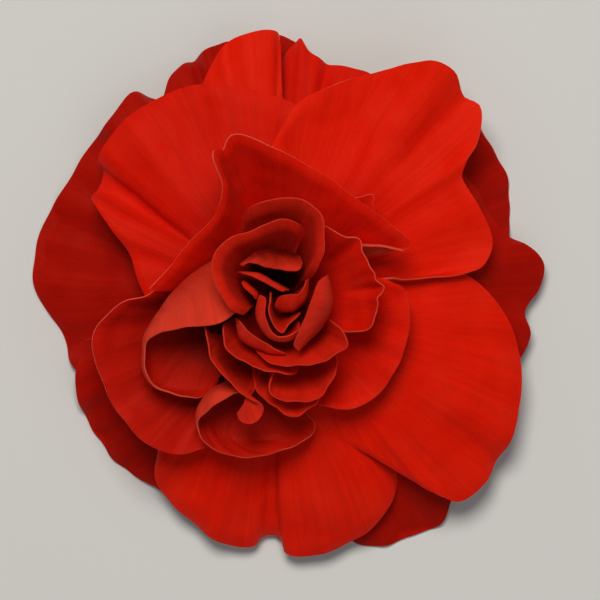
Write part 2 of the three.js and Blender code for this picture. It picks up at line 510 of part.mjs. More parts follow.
// ---- stem side --------------------------------------------------------------------------
// The receptacle is a slim knob on the axis that carries every petal foot.
function receptacleGeometry() {
  const { bottom, waist, top, low, neck, high } = RECEPTACLE;
  const profile = [
    [0, low], [bottom * 0.6, low], [waist, neck], [waist * 0.72, (neck + high) / 2],
    [top, high - top], [0, high],
  ].map(([radius, height]) => new THREE.Vector2(radius, height));
  const geometry = new THREE.LatheGeometry(profile, 16);
  geometry.rotateX(Math.PI / 2);
  geometry.translate(AXIS[0], AXIS[1], 0);
  return geometry;
}

function roundSection(radius) {
  return new THREE.Shape(Array.from({ length: STEM_SIDES }, (_, i) => {
    const angle = (2 * Math.PI * i) / STEM_SIDES;
    return new THREE.Vector2(radius * Math.cos(angle), radius * Math.sin(angle));
  }));
}

function tubeGeometry(points, radius, steps) {
  const extrudePath = curveThrough(points);
  return new THREE.ExtrudeGeometry(roundSection(radius), { steps, extrudePath, bevelEnabled: false });
}

// The lower sepal is a shallow boat that runs out into one slim curved spur.
function spurSepalGeometry() {
  const boat = toManifold(thicken(fanSheet(SPUR_SEPAL, SEPAL_STEPS), SEPAL_THICKNESS));
  return toGeometry(mainBody(boat.add(toManifold(tubeGeometry(SPUR_ROUTE, SPUR_RADIUS, 10)))));
}

function meshOf(name, geometry, finish) {
  const mesh = new THREE.Mesh(geometry, new THREE.MeshStandardMaterial(finish));
  mesh.name = name;
  return mesh;
}

// The finished flower, moved so the middle of its underside is the origin.
function buildBlossom() {
  const blossom = new THREE.Group();
  petalGeometries().forEach((geometry, name) => blossom.add(meshOf(name, geometry, SCARLET)));
  blossom.add(meshOf("receptacle", receptacleGeometry(), PALE_GREEN));
  blossom.add(meshOf("pedicel", tubeGeometry(PEDICEL_ROUTE, PEDICEL_RADIUS, 14), STEM_GREEN));
  blossom.add(meshOf(SPUR_SEPAL.name, spurSepalGeometry(), FLUSHED_GREEN));
  SIDE_SEPALS.forEach((sepal) => {
    blossom.add(meshOf(sepal.name, thicken(fanSheet(sepal, SEPAL_STEPS), SEPAL_THICKNESS), PALE_GREEN));
  });
  const box = new THREE.Box3().setFromObject(blossom);
  const middle = box.getCenter(new THREE.Vector3());
  blossom.position.set(-middle.x, -middle.y, -box.min.z);
  return blossom;
}

const group = buildBlossom();
export default group;
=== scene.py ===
"""Double impatiens blossom, picked and lying face up: petals, sepals and stalk.

Every petal is a thin sheet. Its middle surface runs from a claw on the flower's axis to a
free margin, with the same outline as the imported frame, and gets its ruffles, creases and
thickness here. Lengths are in millimetres in the flower's own frame until they are placed.
"""

import logging
import math
from dataclasses import dataclass, field
from enum import Enum
from typing import Sequence

import bpy
import numpy as np
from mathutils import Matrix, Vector, noise


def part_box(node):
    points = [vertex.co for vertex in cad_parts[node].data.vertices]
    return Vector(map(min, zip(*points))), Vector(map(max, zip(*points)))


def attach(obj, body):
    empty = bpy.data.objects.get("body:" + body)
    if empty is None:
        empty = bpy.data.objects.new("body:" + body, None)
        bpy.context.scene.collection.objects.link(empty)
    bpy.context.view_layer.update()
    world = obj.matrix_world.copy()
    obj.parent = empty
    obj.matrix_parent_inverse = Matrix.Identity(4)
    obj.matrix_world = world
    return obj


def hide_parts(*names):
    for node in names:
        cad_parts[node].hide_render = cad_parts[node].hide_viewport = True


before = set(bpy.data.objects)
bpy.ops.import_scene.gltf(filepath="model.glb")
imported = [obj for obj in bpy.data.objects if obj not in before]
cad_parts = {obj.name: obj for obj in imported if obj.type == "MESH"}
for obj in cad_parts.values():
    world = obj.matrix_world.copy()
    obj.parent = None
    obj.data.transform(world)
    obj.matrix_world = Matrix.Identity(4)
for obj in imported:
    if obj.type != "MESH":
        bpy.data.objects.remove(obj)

logging.basicConfig(level=logging.INFO, format="%(message)s")
log = logging.getLogger("blossom")

Point = tuple[float, float, float]

MM = 0.001
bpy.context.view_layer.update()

# The flower's own frame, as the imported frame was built.
AXIS = (-1.2, -0.6)
RECEPTACLE_LOW = 3.2
CLAW_WIDTH = 2.2
FOOT_RADIUS = 2.6
FOOT_TAPER = 0.17
FOOT_BASE = 4.0
FOOT_RADIUS_LEAST = 0.9
RIB_LEAVE = 0.35
RIB_ARRIVE = 0.4
END_RUN = 0.2
"""Share of the margin over which a petal's ends are rounded off."""

PETAL_THICKNESS = 0.26
MARGIN_SHARE = 0.5
"""Thickness at a petal's margin, as a share of its full thickness."""
ARC_SAMPLES = 240
"""Samples used to space points evenly along a curve."""
ROW_CROWDING = 1.35
"""How much closer together the rows of a sheet lie towards its margin."""
BROAD_NOISE = 0.22
MEDIUM_NOISE = 0.6
"""Waves per millimetre of the petals' broad and medium undulations."""
THINNING_START = 0.6
"""Share along a petal where it starts to thin."""
SMOOTH_ANGLE = math.radians(50)
FLOW_UNIT = 10
"""Millimetres across a petal per unit of its flow map."""


class Tone(Enum):
    """Which lit or shaded copy of one scarlet a petal wears, with painted shade towards its claw and
    painted highlight towards its margin.
    """

    WELL_LIT = "bright"
    LESS_LIT = "warm"
    SHADED_LOW = "deep"
    FOLD = "fold"
    HEART = "heart"
    INNER = "inner"


@dataclass(frozen=True)
class Relief:
    """How a petal's surface departs from its smooth middle sheet.

    Attributes:
        ruffle: Height of the waves along the margin, in mm.
        waves: Number of waves across the petal.
        phase: Where the first wave starts, in turns.
        creases: Runs of (share across, depth in mm, width as a share, start along).
        crinkle: Height of the soft random undulation, in mm.
        lip: How far the last of the margin turns back, away from the face, in mm.
        lip_start: Share along the petal where the lip starts.
    """

    ruffle: float = 0.35
    waves: float = 4.0
    phase: float = 0.0
    creases: tuple[tuple[float, float, float, float], ...] = ()
    crinkle: float = 0.22
    lip: float = 0.0
    lip_start: float = 0.93


class Curve:
    """A centripetal Catmull-Rom curve through a few points."""

    def __init__(self, points: Sequence[Point]) -> None:
        """Keeps the points and works out the tangents of each stretch.

        Args:
            points: The points the curve runs through, first to last.
        """
        self.points = np.asarray(points, float)
        first = 2 * self.points[:1] - self.points[1:2]
        last = 2 * self.points[-1:] - self.points[-2:-1]
        padded = np.concatenate([first, self.points, last])
        gaps = np.sum(np.diff(padded, axis=0) ** 2, axis=1) ** 0.25
        before, here, after = gaps[:-2, None], gaps[1:-1, None], gaps[2:, None]
        here = np.where(here < 1e-4, 1.0, here)
        before = np.where(before < 1e-4, here, before)
        after = np.where(after < 1e-4, here, after)
        p0, p1, p2, p3 = padded[:-3], padded[1:-2], padded[2:-1], padded[3:]
        self.leave = ((p1 - p0) / before - (p2 - p0) / (before + here) + (p2 - p1) / here) * here
        self.arrive = ((p2 - p1) / here - (p3 - p1) / (here + after) + (p3 - p2) / after) * here

    def at(self, shares: np.ndarray) -> np.ndarray:
        """Gives the points at the given shares of the curve's own parameter.

        Args:
            shares: Values from 0 to 1.

        Returns:
            One point per share.
        """
        stretches = len(self.points) - 1
        place = np.clip(shares, 0, 1) * stretches
        index = np.minimum(place.astype(int), stretches - 1)
        w = (place - index)[:, None]
        p1, p2 = self.points[index], self.points[index + 1]
        m1, m2 = self.leave[index], self.arrive[index]
        square = -3 * p1 + 3 * p2 - 2 * m1 - m2
        cube = 2 * p1 - 2 * p2 + m1 + m2
        return p1 + m1 * w + square * w**2 + cube * w**3

    def shares_at(self, lengths: np.ndarray) -> np.ndarray:
        """Turns shares of the curve's length into shares of its parameter.

        Args:
            lengths: Values from 0 to 1.

        Returns:
            The matching parameter shares.
        """
        samples = np.linspace(0, 1, ARC_SAMPLES + 1)
        steps = np.linalg.norm(np.diff(self.at(samples), axis=0), axis=1)
        run = np.concatenate([[0], np.cumsum(steps)])
        return np.interp(lengths * run[-1], run, samples)


def along(values: Sequence[float], shares: np.ndarray) -> np.ndarray:
    """Reads a short list of values as one run over the shares from 0 to 1.

    Args:
        values: At least one value, evenly spread.
        shares: Where to read them.

    Returns:
        One value per share.
    """
    count = max(len(values), 2)
    return np.interp(shares, np.linspace(0, 1, count), np.resize(values, count))


def row_shares(count: int) -> np.ndarray:
    """Spaces the rows of a sheet closer together towards its margin.

    Args:
        count: Number of steps from claw to margin.

    Returns:
        The rows' shares, 0 at the claw and 1 at the margin.
    """
    even = np.linspace(0, 1, count + 1)
    return 1 - (1 - even) ** ROW_CROWDING


@dataclass
class Petal:
    """What every petal has.

    Attributes:
        name: Name of its node.
        tone: Which lit or shaded copy of the scarlet it wears.
        relief: Its waves, creases and lip.
        steps: Steps across and along it.
        thickness: Thickness in mm.
        ends: How much shorter the ribs are where the margin starts and where it ends.
    """

    name: str
    tone: Tone = field(default=Tone.LESS_LIT, kw_only=True)
    relief: Relief = field(default=Relief(), kw_only=True)
    steps: tuple[int, int] = field(default=(72, 52), kw_only=True)
    thickness: float = field(default=PETAL_THICKNESS, kw_only=True)
    ends: tuple[float, float] = field(default=(0.0, 0.0), kw_only=True)

    def smooth_sheet(self, across: np.ndarray, rows: np.ndarray) -> np.ndarray:
        """Gives the middle surface before its relief, as rows of points."""
        raise NotImplementedError

    def rib_reach(self, across: np.ndarray) -> np.ndarray:
        """Gives how much of each rib is used, so that the margin's ends are rounded off."""
        near_start = np.clip(1 - across / END_RUN, 0, 1) ** 2
        near_end = np.clip(1 - (1 - across) / END_RUN, 0, 1) ** 2
        return 1 - self.ends[0] * near_start - self.ends[1] * near_end

    def sheet(self) -> np.ndarray:
        """Gives the finished middle surface, as rows of points from claw to margin."""
        across = np.linspace(0, 1, self.steps[0] + 1)
        rows = row_shares(self.steps[1])
        points = self.smooth_sheet(across, rows)
        return points + surface_normals(points) * self.heights(points, across, rows)[..., None]

    def heights(self, points: np.ndarray, across: np.ndarray, rows: np.ndarray) -> np.ndarray:
        """Works out how far each point is lifted off the smooth sheet.

        Args:
            points: The smooth sheet.
            across: Shares across the petal.
            rows: Shares along the petal.

        Returns:
            Heights in mm, one per point.
        """
        u, v = np.meshgrid(across, rows)
        relief = self.relief
        wave = np.sin(2 * np.pi * (relief.waves * u + relief.phase))
        second = np.sin(2 * np.pi * (relief.waves * 2.3 * u + relief.phase * 1.7 + 0.3 * v))
        height = relief.ruffle * (0.75 * wave + 0.35 * second) * v**3
        for share, depth, width, start in relief.creases:
            reach = np.clip((v - start) / (1 - start), 0, 1)
            height -= depth * np.exp(-(((u - share) / width) ** 2)) * reach
        height += relief.crinkle * soft_noise(points) * np.clip(v * 2 - 0.4, 0, 1)
        edge = np.clip((v - relief.lip_start) / (1 - relief.lip_start), 0, 1)
        return height - relief.lip * edge**2


@dataclass
class SpreadPetal(Petal):
    """A petal whose ribs spread from one claw.

    Attributes:
        bearing: Direction of the petal from the axis, in degrees.
        height: Height of its foot.
        rise: Angles at which the ribs leave the claw, from one end of the margin to the other.
        land: Angles at which the ribs reach the margin.
        margin: Points of the free edge.
        arrive: Share of a rib that keeps its landing direction.
    """

    bearing: float
    height: float
    rise: tuple[float, ...]
    land: tuple[float, ...]
    margin: tuple[Point, ...]
    arrive: float = field(default=RIB_ARRIVE, kw_only=True)

    def smooth_sheet(self, across: np.ndarray, rows: np.ndarray) -> np.ndarray:
        """Joins the claw to the margin with cubic ribs."""
        curve = Curve(self.margin)
        edge = curve.at(curve.shares_at(across))
        foot = self.feet(across)
        span = edge[:, :2] - foot[:, :2]
        length = np.linalg.norm(span, axis=1)[:, None]
        plan = span / length
        leave = foot + RIB_LEAVE * length * self.directions(plan, along(self.rise, across))
        arrive = edge - self.arrive * length * self.directions(plan, along(self.land, across))
        v = (rows[:, None] * self.rib_reach(across))[..., None]
        w = 1 - v
        return w**3 * foot + 3 * w**2 * v * leave + 3 * w * v**2 * arrive + v**3 * edge

    @staticmethod
    def directions(plan: np.ndarray, degrees: np.ndarray) -> np.ndarray:
        """Tilts plan directions up by the given angles."""
        angle = np.radians(degrees)[:, None]
        return np.concatenate([plan * np.cos(angle), np.sin(angle)], axis=1)

    def feet(self, across: np.ndarray) -> np.ndarray:
        """Spreads the ribs' feet over the claw, around the axis."""
        bearing = math.radians(self.bearing)
        out = np.array([math.cos(bearing), math.sin(bearing)])
        side = np.array([-out[1], out[0]])
        reach = max(FOOT_RADIUS_LEAST, FOOT_RADIUS - FOOT_TAPER * (self.height - FOOT_BASE))
        start = np.array(self.margin[0][:2]) - np.array(AXIS)
        turn = -1 if start @ side < 0 else 1
        plan = np.array(AXIS) + reach * out + turn * CLAW_WIDTH * (0.5 - across)[:, None] * side
        return np.concatenate([plan, np.full((len(across), 1), self.height)], axis=1)


@dataclass
class FoldedPetal(Petal):
    """A petal folded over itself, given by rails that run across it.

    Attributes:
        rails: Runs of points, from the claw over the fold to the free margin.
    """

    rails: tuple[tuple[Point, ...], ...]

    def smooth_sheet(self, across: np.ndarray, rows: np.ndarray) -> np.ndarray:
        """Joins the rails with one smooth rib per step across."""
        curves = [Curve(rail) for rail in self.rails]
        shares = curves[-1].shares_at(across)
        stations = np.stack([curve.at(shares) for curve in curves])
        ribs = [Curve(stations[:, i]) for i in range(len(across))]
        used = zip(ribs, self.rib_reach(across))
        return np.stack([rib.at(rib.shares_at(rows * share)) for rib, share in used], axis=1)


def surface_normals(points: np.ndarray) -> np.ndarray:
    """Gives the unit normals of a sheet of points, smoothed a little.

    Args:
        points: Rows of points.

    Returns:
        One unit normal per point, on the side that looks up.
    """
    normal = np.cross(np.gradient(points, axis=1), np.gradient(points, axis=0))
    padded = np.pad(normal, ((1, 1), (1, 1), (0, 0)), mode="edge")
    normal = normal + padded[2:, 1:-1] + padded[:-2, 1:-1] + padded[1:-1, 2:] + padded[1:-1, :-2]
    if normal[..., 2].sum() < 0:
        normal = -normal
    return normal / np.maximum(np.linalg.norm(normal, axis=2, keepdims=True), 1e-9)


def soft_noise(points: np.ndarray) -> np.ndarray:
    """Smooth random heights from -1 to 1 over a sheet, broad and medium together.

    Args:
        points: Rows of points in mm.

    Returns:
        One value per point.
    """
    flat = points.reshape(-1, 3)
    broad = [noise.noise(Vector(p) * BROAD_NOISE) for p in flat]
    medium = [noise.noise(Vector(p) * MEDIUM_NOISE + Vector((7.0, 3.0, 1.0))) for p in flat]
    return (np.array(broad) * 1.2 + np.array(medium) * 0.45).reshape(points.shape[:2])

OUTER_RING: tuple[Petal, ...] = (
    SpreadPetal(
        "outer_petal_left", bearing=158, height=4.4, rise=(14,), land=(-25, -10, -20, -30),
        tone=Tone.SHADED_LOW,
        relief=Relief(ruffle=0.5, waves=4, phase=0.2,
            creases=((0.55, 0.7, 0.05, 0.45), (0.32, 0.5, 0.05, 0.5)), lip=0.25),
        steps=(96, 60),
        margin=(
            (-8.5, 16.5, 1.8), (-12.2, 18.7, 1.8), (-14.8, 19.2, 2.4), (-17, 16.5, 2.6),
            (-19.4, 13.6, 1.8), (-21.6, 9.7, 0.9), (-23.6, 6.6, 0.4), (-24.5, 2.5, 0.4),
            (-23.7, -0.6, 0.4), (-22, -3.2, 0.6), (-21, -6.4, 1), (-19, -8.4, 1.6))),
    SpreadPetal(
        "outer_petal_lower_left", bearing=212, height=5, rise=(16,), land=(-25,),
        tone=Tone.SHADED_LOW,
        relief=Relief(ruffle=0.35, waves=3, phase=0.6, creases=((0.5, 0.4, 0.06, 0.5),), lip=0.2),
        margin=(
            (-19.5, -4.5, 3.4), (-20.2, -7.2, 2.6), (-20.1, -9.8, 1.8), (-18.8, -13.2, 0.5),
            (-16.6, -15.9, 0.4), (-14.4, -17.7, 0.8), (-11.8, -18.9, 1.6), (-8.5, -18.6, 2.4))),
    SpreadPetal(
        "outer_petal_lower_right", bearing=298, height=4.6, rise=(16,), land=(-24,),
        tone=Tone.SHADED_LOW, relief=Relief(ruffle=0.3, waves=3, phase=0.35, lip=0.2),
        margin=(
            (3, -22, 0.6), (6.6, -23.9, 0.5), (9.5, -23.9, 0.4), (12.4, -23, 0.4), (14.4, -22, 0.7),
            (15.6, -19.4, 1.6), (16.5, -15, 3))),
    SpreadPetal(
        "outer_petal_right", bearing=8, height=5.8, rise=(14,), land=(-22,),
        tone=Tone.SHADED_LOW, relief=Relief(ruffle=0.3, waves=3, phase=0.1, lip=0.2),
        margin=(
            (16, 12, 3.6), (18.2, 9.2, 3.4), (20.6, 5.6, 3), (22.6, 4.5, 2.6), (24.3, 2.7, 2.2),
            (23.8, 0.3, 2), (22.4, -2, 2.2), (22.9, -4, 2), (21.9, -6.4, 2.4), (18.5, -9.5, 3))),
    SpreadPetal(
        "outer_petal_upper_right", bearing=42, height=5, rise=(14,), land=(-26,),
        tone=Tone.SHADED_LOW, relief=Relief(ruffle=0.35, waves=3, phase=0.5, lip=0.2),
        margin=(
            (12, 18.5, 2.2), (15.2, 17.6, 1.6), (18.1, 16, 0.7), (19.8, 13.2, 0.4), (20.9, 9.9, 0.4),
            (21.1, 6.4, 0.8), (20, 3, 1.6))),
    SpreadPetal(
        "top_petal_back_left", bearing=108, height=5.4, rise=(16,), land=(-24,),
        tone=Tone.SHADED_LOW,
        relief=Relief(ruffle=0.3, waves=3, phase=0.1, creases=((0.6, 0.8, 0.04, 0.6),), lip=0.2),
        margin=(
            (-13.5, 14.5, 4.6), (-12.2, 18, 3.6), (-10.8, 21.2, 2.4), (-8.2, 22.9, 2), (-5.6, 24, 1.8),
            (-3.2, 23.6, 2.2))),
    SpreadPetal(
        "top_petal_back_right", bearing=84, height=4.4, rise=(16,), land=(-24,),
        tone=Tone.SHADED_LOW, relief=Relief(ruffle=0.15, waves=2, lip=0.15),
        margin=(
            (-3, 23, 0.7), (-1, 24.6, 0.4), (0.7, 23.8, 0.4), (2.4, 22.4, 0.6), (4, 20, 1.4))),
)
"""The ring nearest the surface; their edges droop until they touch it."""

FACE_PETALS: tuple[Petal, ...] = (
    SpreadPetal(
        "bottom_petal", bearing=264, height=6.4, rise=(16,), land=(-20, -28, -25, -28, -18),
        tone=Tone.WELL_LIT,
        relief=Relief(ruffle=0.35, waves=4, phase=0.1,
            creases=((0.466, 0.5, 0.06, 0.2), (0.25, 0.35, 0.05, 0.5), (0.72, 0.35, 0.05, 0.5)), lip=0.3),
        steps=(96, 60),
        margin=(
            (-12.4, -14.4, 4.6), (-12.6, -18.3, 3.6), (-9.6, -21.7, 3), (-5.6, -24.1, 2.4),
            (-3, -24.3, 2.2), (-1.6, -23.4, 2), (-0.4, -24.8, 2.2), (2.6, -25, 2.5), (6.6, -23.6, 3),
            (9.2, -20.8, 3.4), (10.6, -17.4, 3.7), (10.2, -14, 4.2))),
    SpreadPetal(
        "large_petal_lower_right", bearing=318, height=7.4, rise=(14,), land=(-6, -14, -26, -18, -10),
        tone=Tone.WELL_LIT,
        relief=Relief(ruffle=0.3, waves=3.5, phase=0.4,
            creases=((0.48, 0.8, 0.03, 0.6), (0.3, -0.7, 0.035, 0.6)), lip=0.25),
        steps=(104, 64),
        margin=(
            (1.6, -11.6, 7.6), (3.4, -13.4, 7.2), (7, -15, 6.6), (10.4, -17, 6), (13.8, -18.8, 5.2),
            (16.1, -19.9, 4.6), (18.8, -18, 4.3), (20.2, -15.8, 4.3), (21.9, -11, 4.6), (22, -6, 4.8),
            (20.4, -2, 5.2), (17.6, 1.2, 5.8), (12.5, 3.2, 7))),
    SpreadPetal(
        "large_petal_upper_right", bearing=50, height=8.2, rise=(16,), land=(5, 12, 18, 5, 15, 10, 0),
        tone=Tone.WELL_LIT,
        relief=Relief(ruffle=0.25, waves=4, phase=0.7,
            creases=((0.49, 0.6, 0.03, 0.6), (0.66, 0.8, 0.035, 0.55), (0.42, -0.5, 0.05, 0.5)), lip=0.2),
        steps=(104, 64),
        margin=(
            (-2.4, 12, 10), (-1, 14.9, 9.8), (0.9, 17.9, 9.2), (4.5, 19.7, 8.6), (8.2, 20.7, 8.4),
            (11.8, 21.7, 8.6), (13.8, 22, 8.8), (15.6, 21, 8.6), (16.6, 18.4, 8), (18, 17.7, 7.8),
            (17.6, 14, 8.4), (16.1, 11.2, 8.8), (18, 8, 8.2), (19.2, 4.6, 7.6), (18.1, 2.3, 7.4),
            (15, 1.6, 8), (10.5, 1.6, 9))),
    SpreadPetal(
        "top_petal", bearing=98, height=6.6, rise=(14,), land=(-18, -12, 0, -10),
        tone=Tone.WELL_LIT,
        relief=Relief(ruffle=0.25, waves=3, phase=0.15, creases=((0.35, -0.4, 0.06, 0.5),), lip=0.15),
        margin=(
            (-9.6, 16, 5.4), (-7.9, 20.6, 4.6), (-5.6, 23.9, 4.2), (-3.6, 24.75, 4.2), (-1.9, 24.95, 4.6),
            (-1, 24.4, 5.6), (-0.9, 21, 5.4), (-0.4, 17, 5.8))),
    SpreadPetal(
        "top_petal_right", bearing=72, height=6, rise=(14,), land=(-18,),
        tone=Tone.LESS_LIT,
        relief=Relief(ruffle=0.25, waves=3, phase=0.3, creases=((0.4, 0.6, 0.04, 0.5),), lip=0.2),
        margin=(
            (-0.6, 22.2, 2.4), (0.96, 24.3, 2.8), (1.9, 23, 3.3), (3.6, 22, 3.4), (6.1, 21.4, 3.4),
            (8.6, 20.2, 3.4), (11.5, 17, 3.8))),
    SpreadPetal(
        "large_petal_upper_left", bearing=140, height=7.8, rise=(16,), land=(0, -5, -12, -4, 10),
        tone=Tone.LESS_LIT,
        relief=Relief(ruffle=0.3, waves=4, phase=0.3,
            creases=((0.66, 1.0, 0.045, 0.4), (0.42, 0.3, 0.07, 0.4)), lip=0.25),
        steps=(104, 64),
        margin=(
            (3, 15.8, 7.6), (0.2, 18, 7.4), (-4, 19.3, 7), (-9, 19.7, 6.6), (-12.6, 18.4, 6.2),
            (-15.6, 16.3, 6), (-18.2, 12.6, 5.8), (-17.8, 10.7, 5.6), (-18.6, 9.2, 6.6), (-17, 6.4, 7.6),
            (-15.1, 4, 8), (-14.3, 1.4, 8), (-13, -1.4, 8))),
)
"""The large petals that make the open face."""

CUP_PETALS: tuple[Petal, ...] = (
    SpreadPetal(
        "cup_petal_left", bearing=206, height=8.8, rise=(-4,), land=(62, 42, 38, 26, 20, 26),
        tone=Tone.FOLD, relief=Relief(ruffle=0.3, waves=4, phase=0.2, lip=0.2), steps=(88, 56),
        margin=(
            (-6.4, 6.4, 13), (-8.6, 3.2, 12.6), (-11.2, 1, 12.2), (-14.2, -0.4, 11.7), (-17, -2.3, 11.2),
            (-18.6, -4.6, 10.7), (-17.6, -8, 10.1), (-15.8, -11.6, 9.7), (-13.4, -14.2, 9.4),
            (-10.4, -15, 9.2), (-6.6, -14.2, 9))),
    SpreadPetal(
        "cup_petal_right", bearing=332, height=9, rise=(2,), land=(22, 26, 30, 34),
        tone=Tone.LESS_LIT, relief=Relief(ruffle=0.2, waves=3, phase=0.6, lip=0.15),
        margin=(
            (7.2, 1.6, 11.2), (10.6, 0.6, 11.4), (11.3, -1.8, 11.6), (10.9, -4.8, 11.6), (9.8, -7.6, 11.4),
            (7.4, -10.1, 11.2), (4.8, -10.9, 11.2), (1.6, -10, 11.2))),
    SpreadPetal(
        "hood_petal", bearing=88, height=9.3, rise=(-2,), land=(50, 56, 56, 46, 38, 32),
        tone=Tone.LESS_LIT,
        relief=Relief(ruffle=0.15, waves=4, phase=0.2, crinkle=0.18, lip=0.35, lip_start=0.94),
        steps=(120, 48), thickness=0.42, arrive=0.5,
        margin=(
            (-12.9, 0.2, 13.4), (-11, 2.2, 14), (-8.6, 4.9, 15), (-6.5, 7.6, 16.4), (-6.1, 10.4, 17.4),
            (-6.7, 13.2, 17.8), (-5.9, 13.2, 16.6), (-5.2, 14.5, 16.8), (-3.2, 14.2, 16.6),
            (-0.6, 13, 16.4), (3, 10.9, 16), (6.7, 8.3, 15.2), (9.4, 6.3, 14.4), (11.2, 4.5, 13.6),
            (8.6, 4.7, 13.4), (6, 4.8, 14))),
    SpreadPetal(
        "hood_tip_petal", bearing=62, height=9.2, rise=(4,), land=(26,),
        tone=Tone.LESS_LIT, relief=Relief(ruffle=0.1, waves=2, crinkle=0.1), steps=(32, 28),
        margin=(
            (3.4, 8.4, 13.2), (6.4, 8.9, 13.6), (7.9, 9.2, 13.8), (7.9, 7.9, 13.4), (8.6, 5.6, 12.8))),
    SpreadPetal(
        "lower_petal_front", bearing=286, height=10, rise=(0,), land=(56,),
        tone=Tone.HEART,
        relief=Relief(ruffle=0.12, waves=3, crinkle=0.12), steps=(48, 36), ends=(0.3, 0.5), arrive=0.6,
        margin=(
            (-4.2, -7.4, 13.4), (-2.9, -9.2, 13.8), (-1.2, -10.8, 13.6), (0.5, -11.6, 13.4),
            (2.3, -10.6, 13.4), (4.2, -9.2, 13))),
    SpreadPetal(
        "lower_petal_inner", bearing=290, height=10.5, rise=(0,), land=(66,),
        tone=Tone.HEART,
        relief=Relief(ruffle=0.12, waves=3, crinkle=0.12), steps=(56, 36), ends=(0.12, 0.3), arrive=0.6,
        margin=(
            (-0.9, -7.4, 14.8), (-1.6, -7.9, 15.2), (-1.8, -8.8, 15.3), (-1, -9.8, 15), (1, -10.2, 14.8),
            (3, -9.6, 14.6), (4.3, -7.9, 14.8), (5.3, -6, 14.8))),
    SpreadPetal(
        "crumpled_petal", bearing=8, height=10.7, rise=(6,), land=(62, 54, 44, 50, 60),
        tone=Tone.LESS_LIT,
        relief=Relief(ruffle=0.15, waves=4, phase=0.4, crinkle=0.3,
            creases=((0.6, 0.45, 0.02, 0.6), (0.66, -0.4, 0.02, 0.65), (0.54, -0.35, 0.02, 0.7),
                     (0.3, 0.4, 0.04, 0.4))),
        steps=(64, 40), ends=(0.2, 0.3), arrive=0.6,
        margin=(
            (2.6, 7.4, 15.6), (4.9, 5.5, 16.4), (6.1, 5.1, 16.4), (7, 3.6, 16.2), (8.1, 1.9, 16),
            (8.6, 0.1, 15.8), (8.1, -2.2, 15.6), (7.2, -3.6, 15.4), (5.3, -4.2, 15.2))),
    SpreadPetal(
        "thin_rim_petal", bearing=240, height=11, rise=(0,), land=(80,),
        tone=Tone.HEART,
        relief=Relief(ruffle=0.08, waves=3, crinkle=0.1), steps=(48, 32), ends=(0.1, 0.35), arrive=0.65,
        margin=(
            (-6.3, -3, 16), (-6, -4.8, 16.3), (-5, -6, 16.4), (-2.6, -7.1, 16.3), (-0.5, -7.5, 16),
            (1.6, -8, 15.6))),
    SpreadPetal(
        "lobe_petal", bearing=296, height=11.5, rise=(2,), land=(62, 60, 80),
        tone=Tone.HEART,
        relief=Relief(ruffle=0.12, waves=3, phase=0.3, crinkle=0.12),
        steps=(56, 32), ends=(0.3, 0.3), arrive=0.6,
        margin=(
            (4.2, -2.2, 16.4), (5.2, -4, 17), (5.5, -4.9, 17), (4.6, -5.7, 16.9), (2.6, -6.5, 16.8),
            (0.4, -6.8, 16.8), (-1.6, -6.5, 16.8), (-3.6, -6, 16.4))),
)
"""Cupped petals that stand round the middle."""

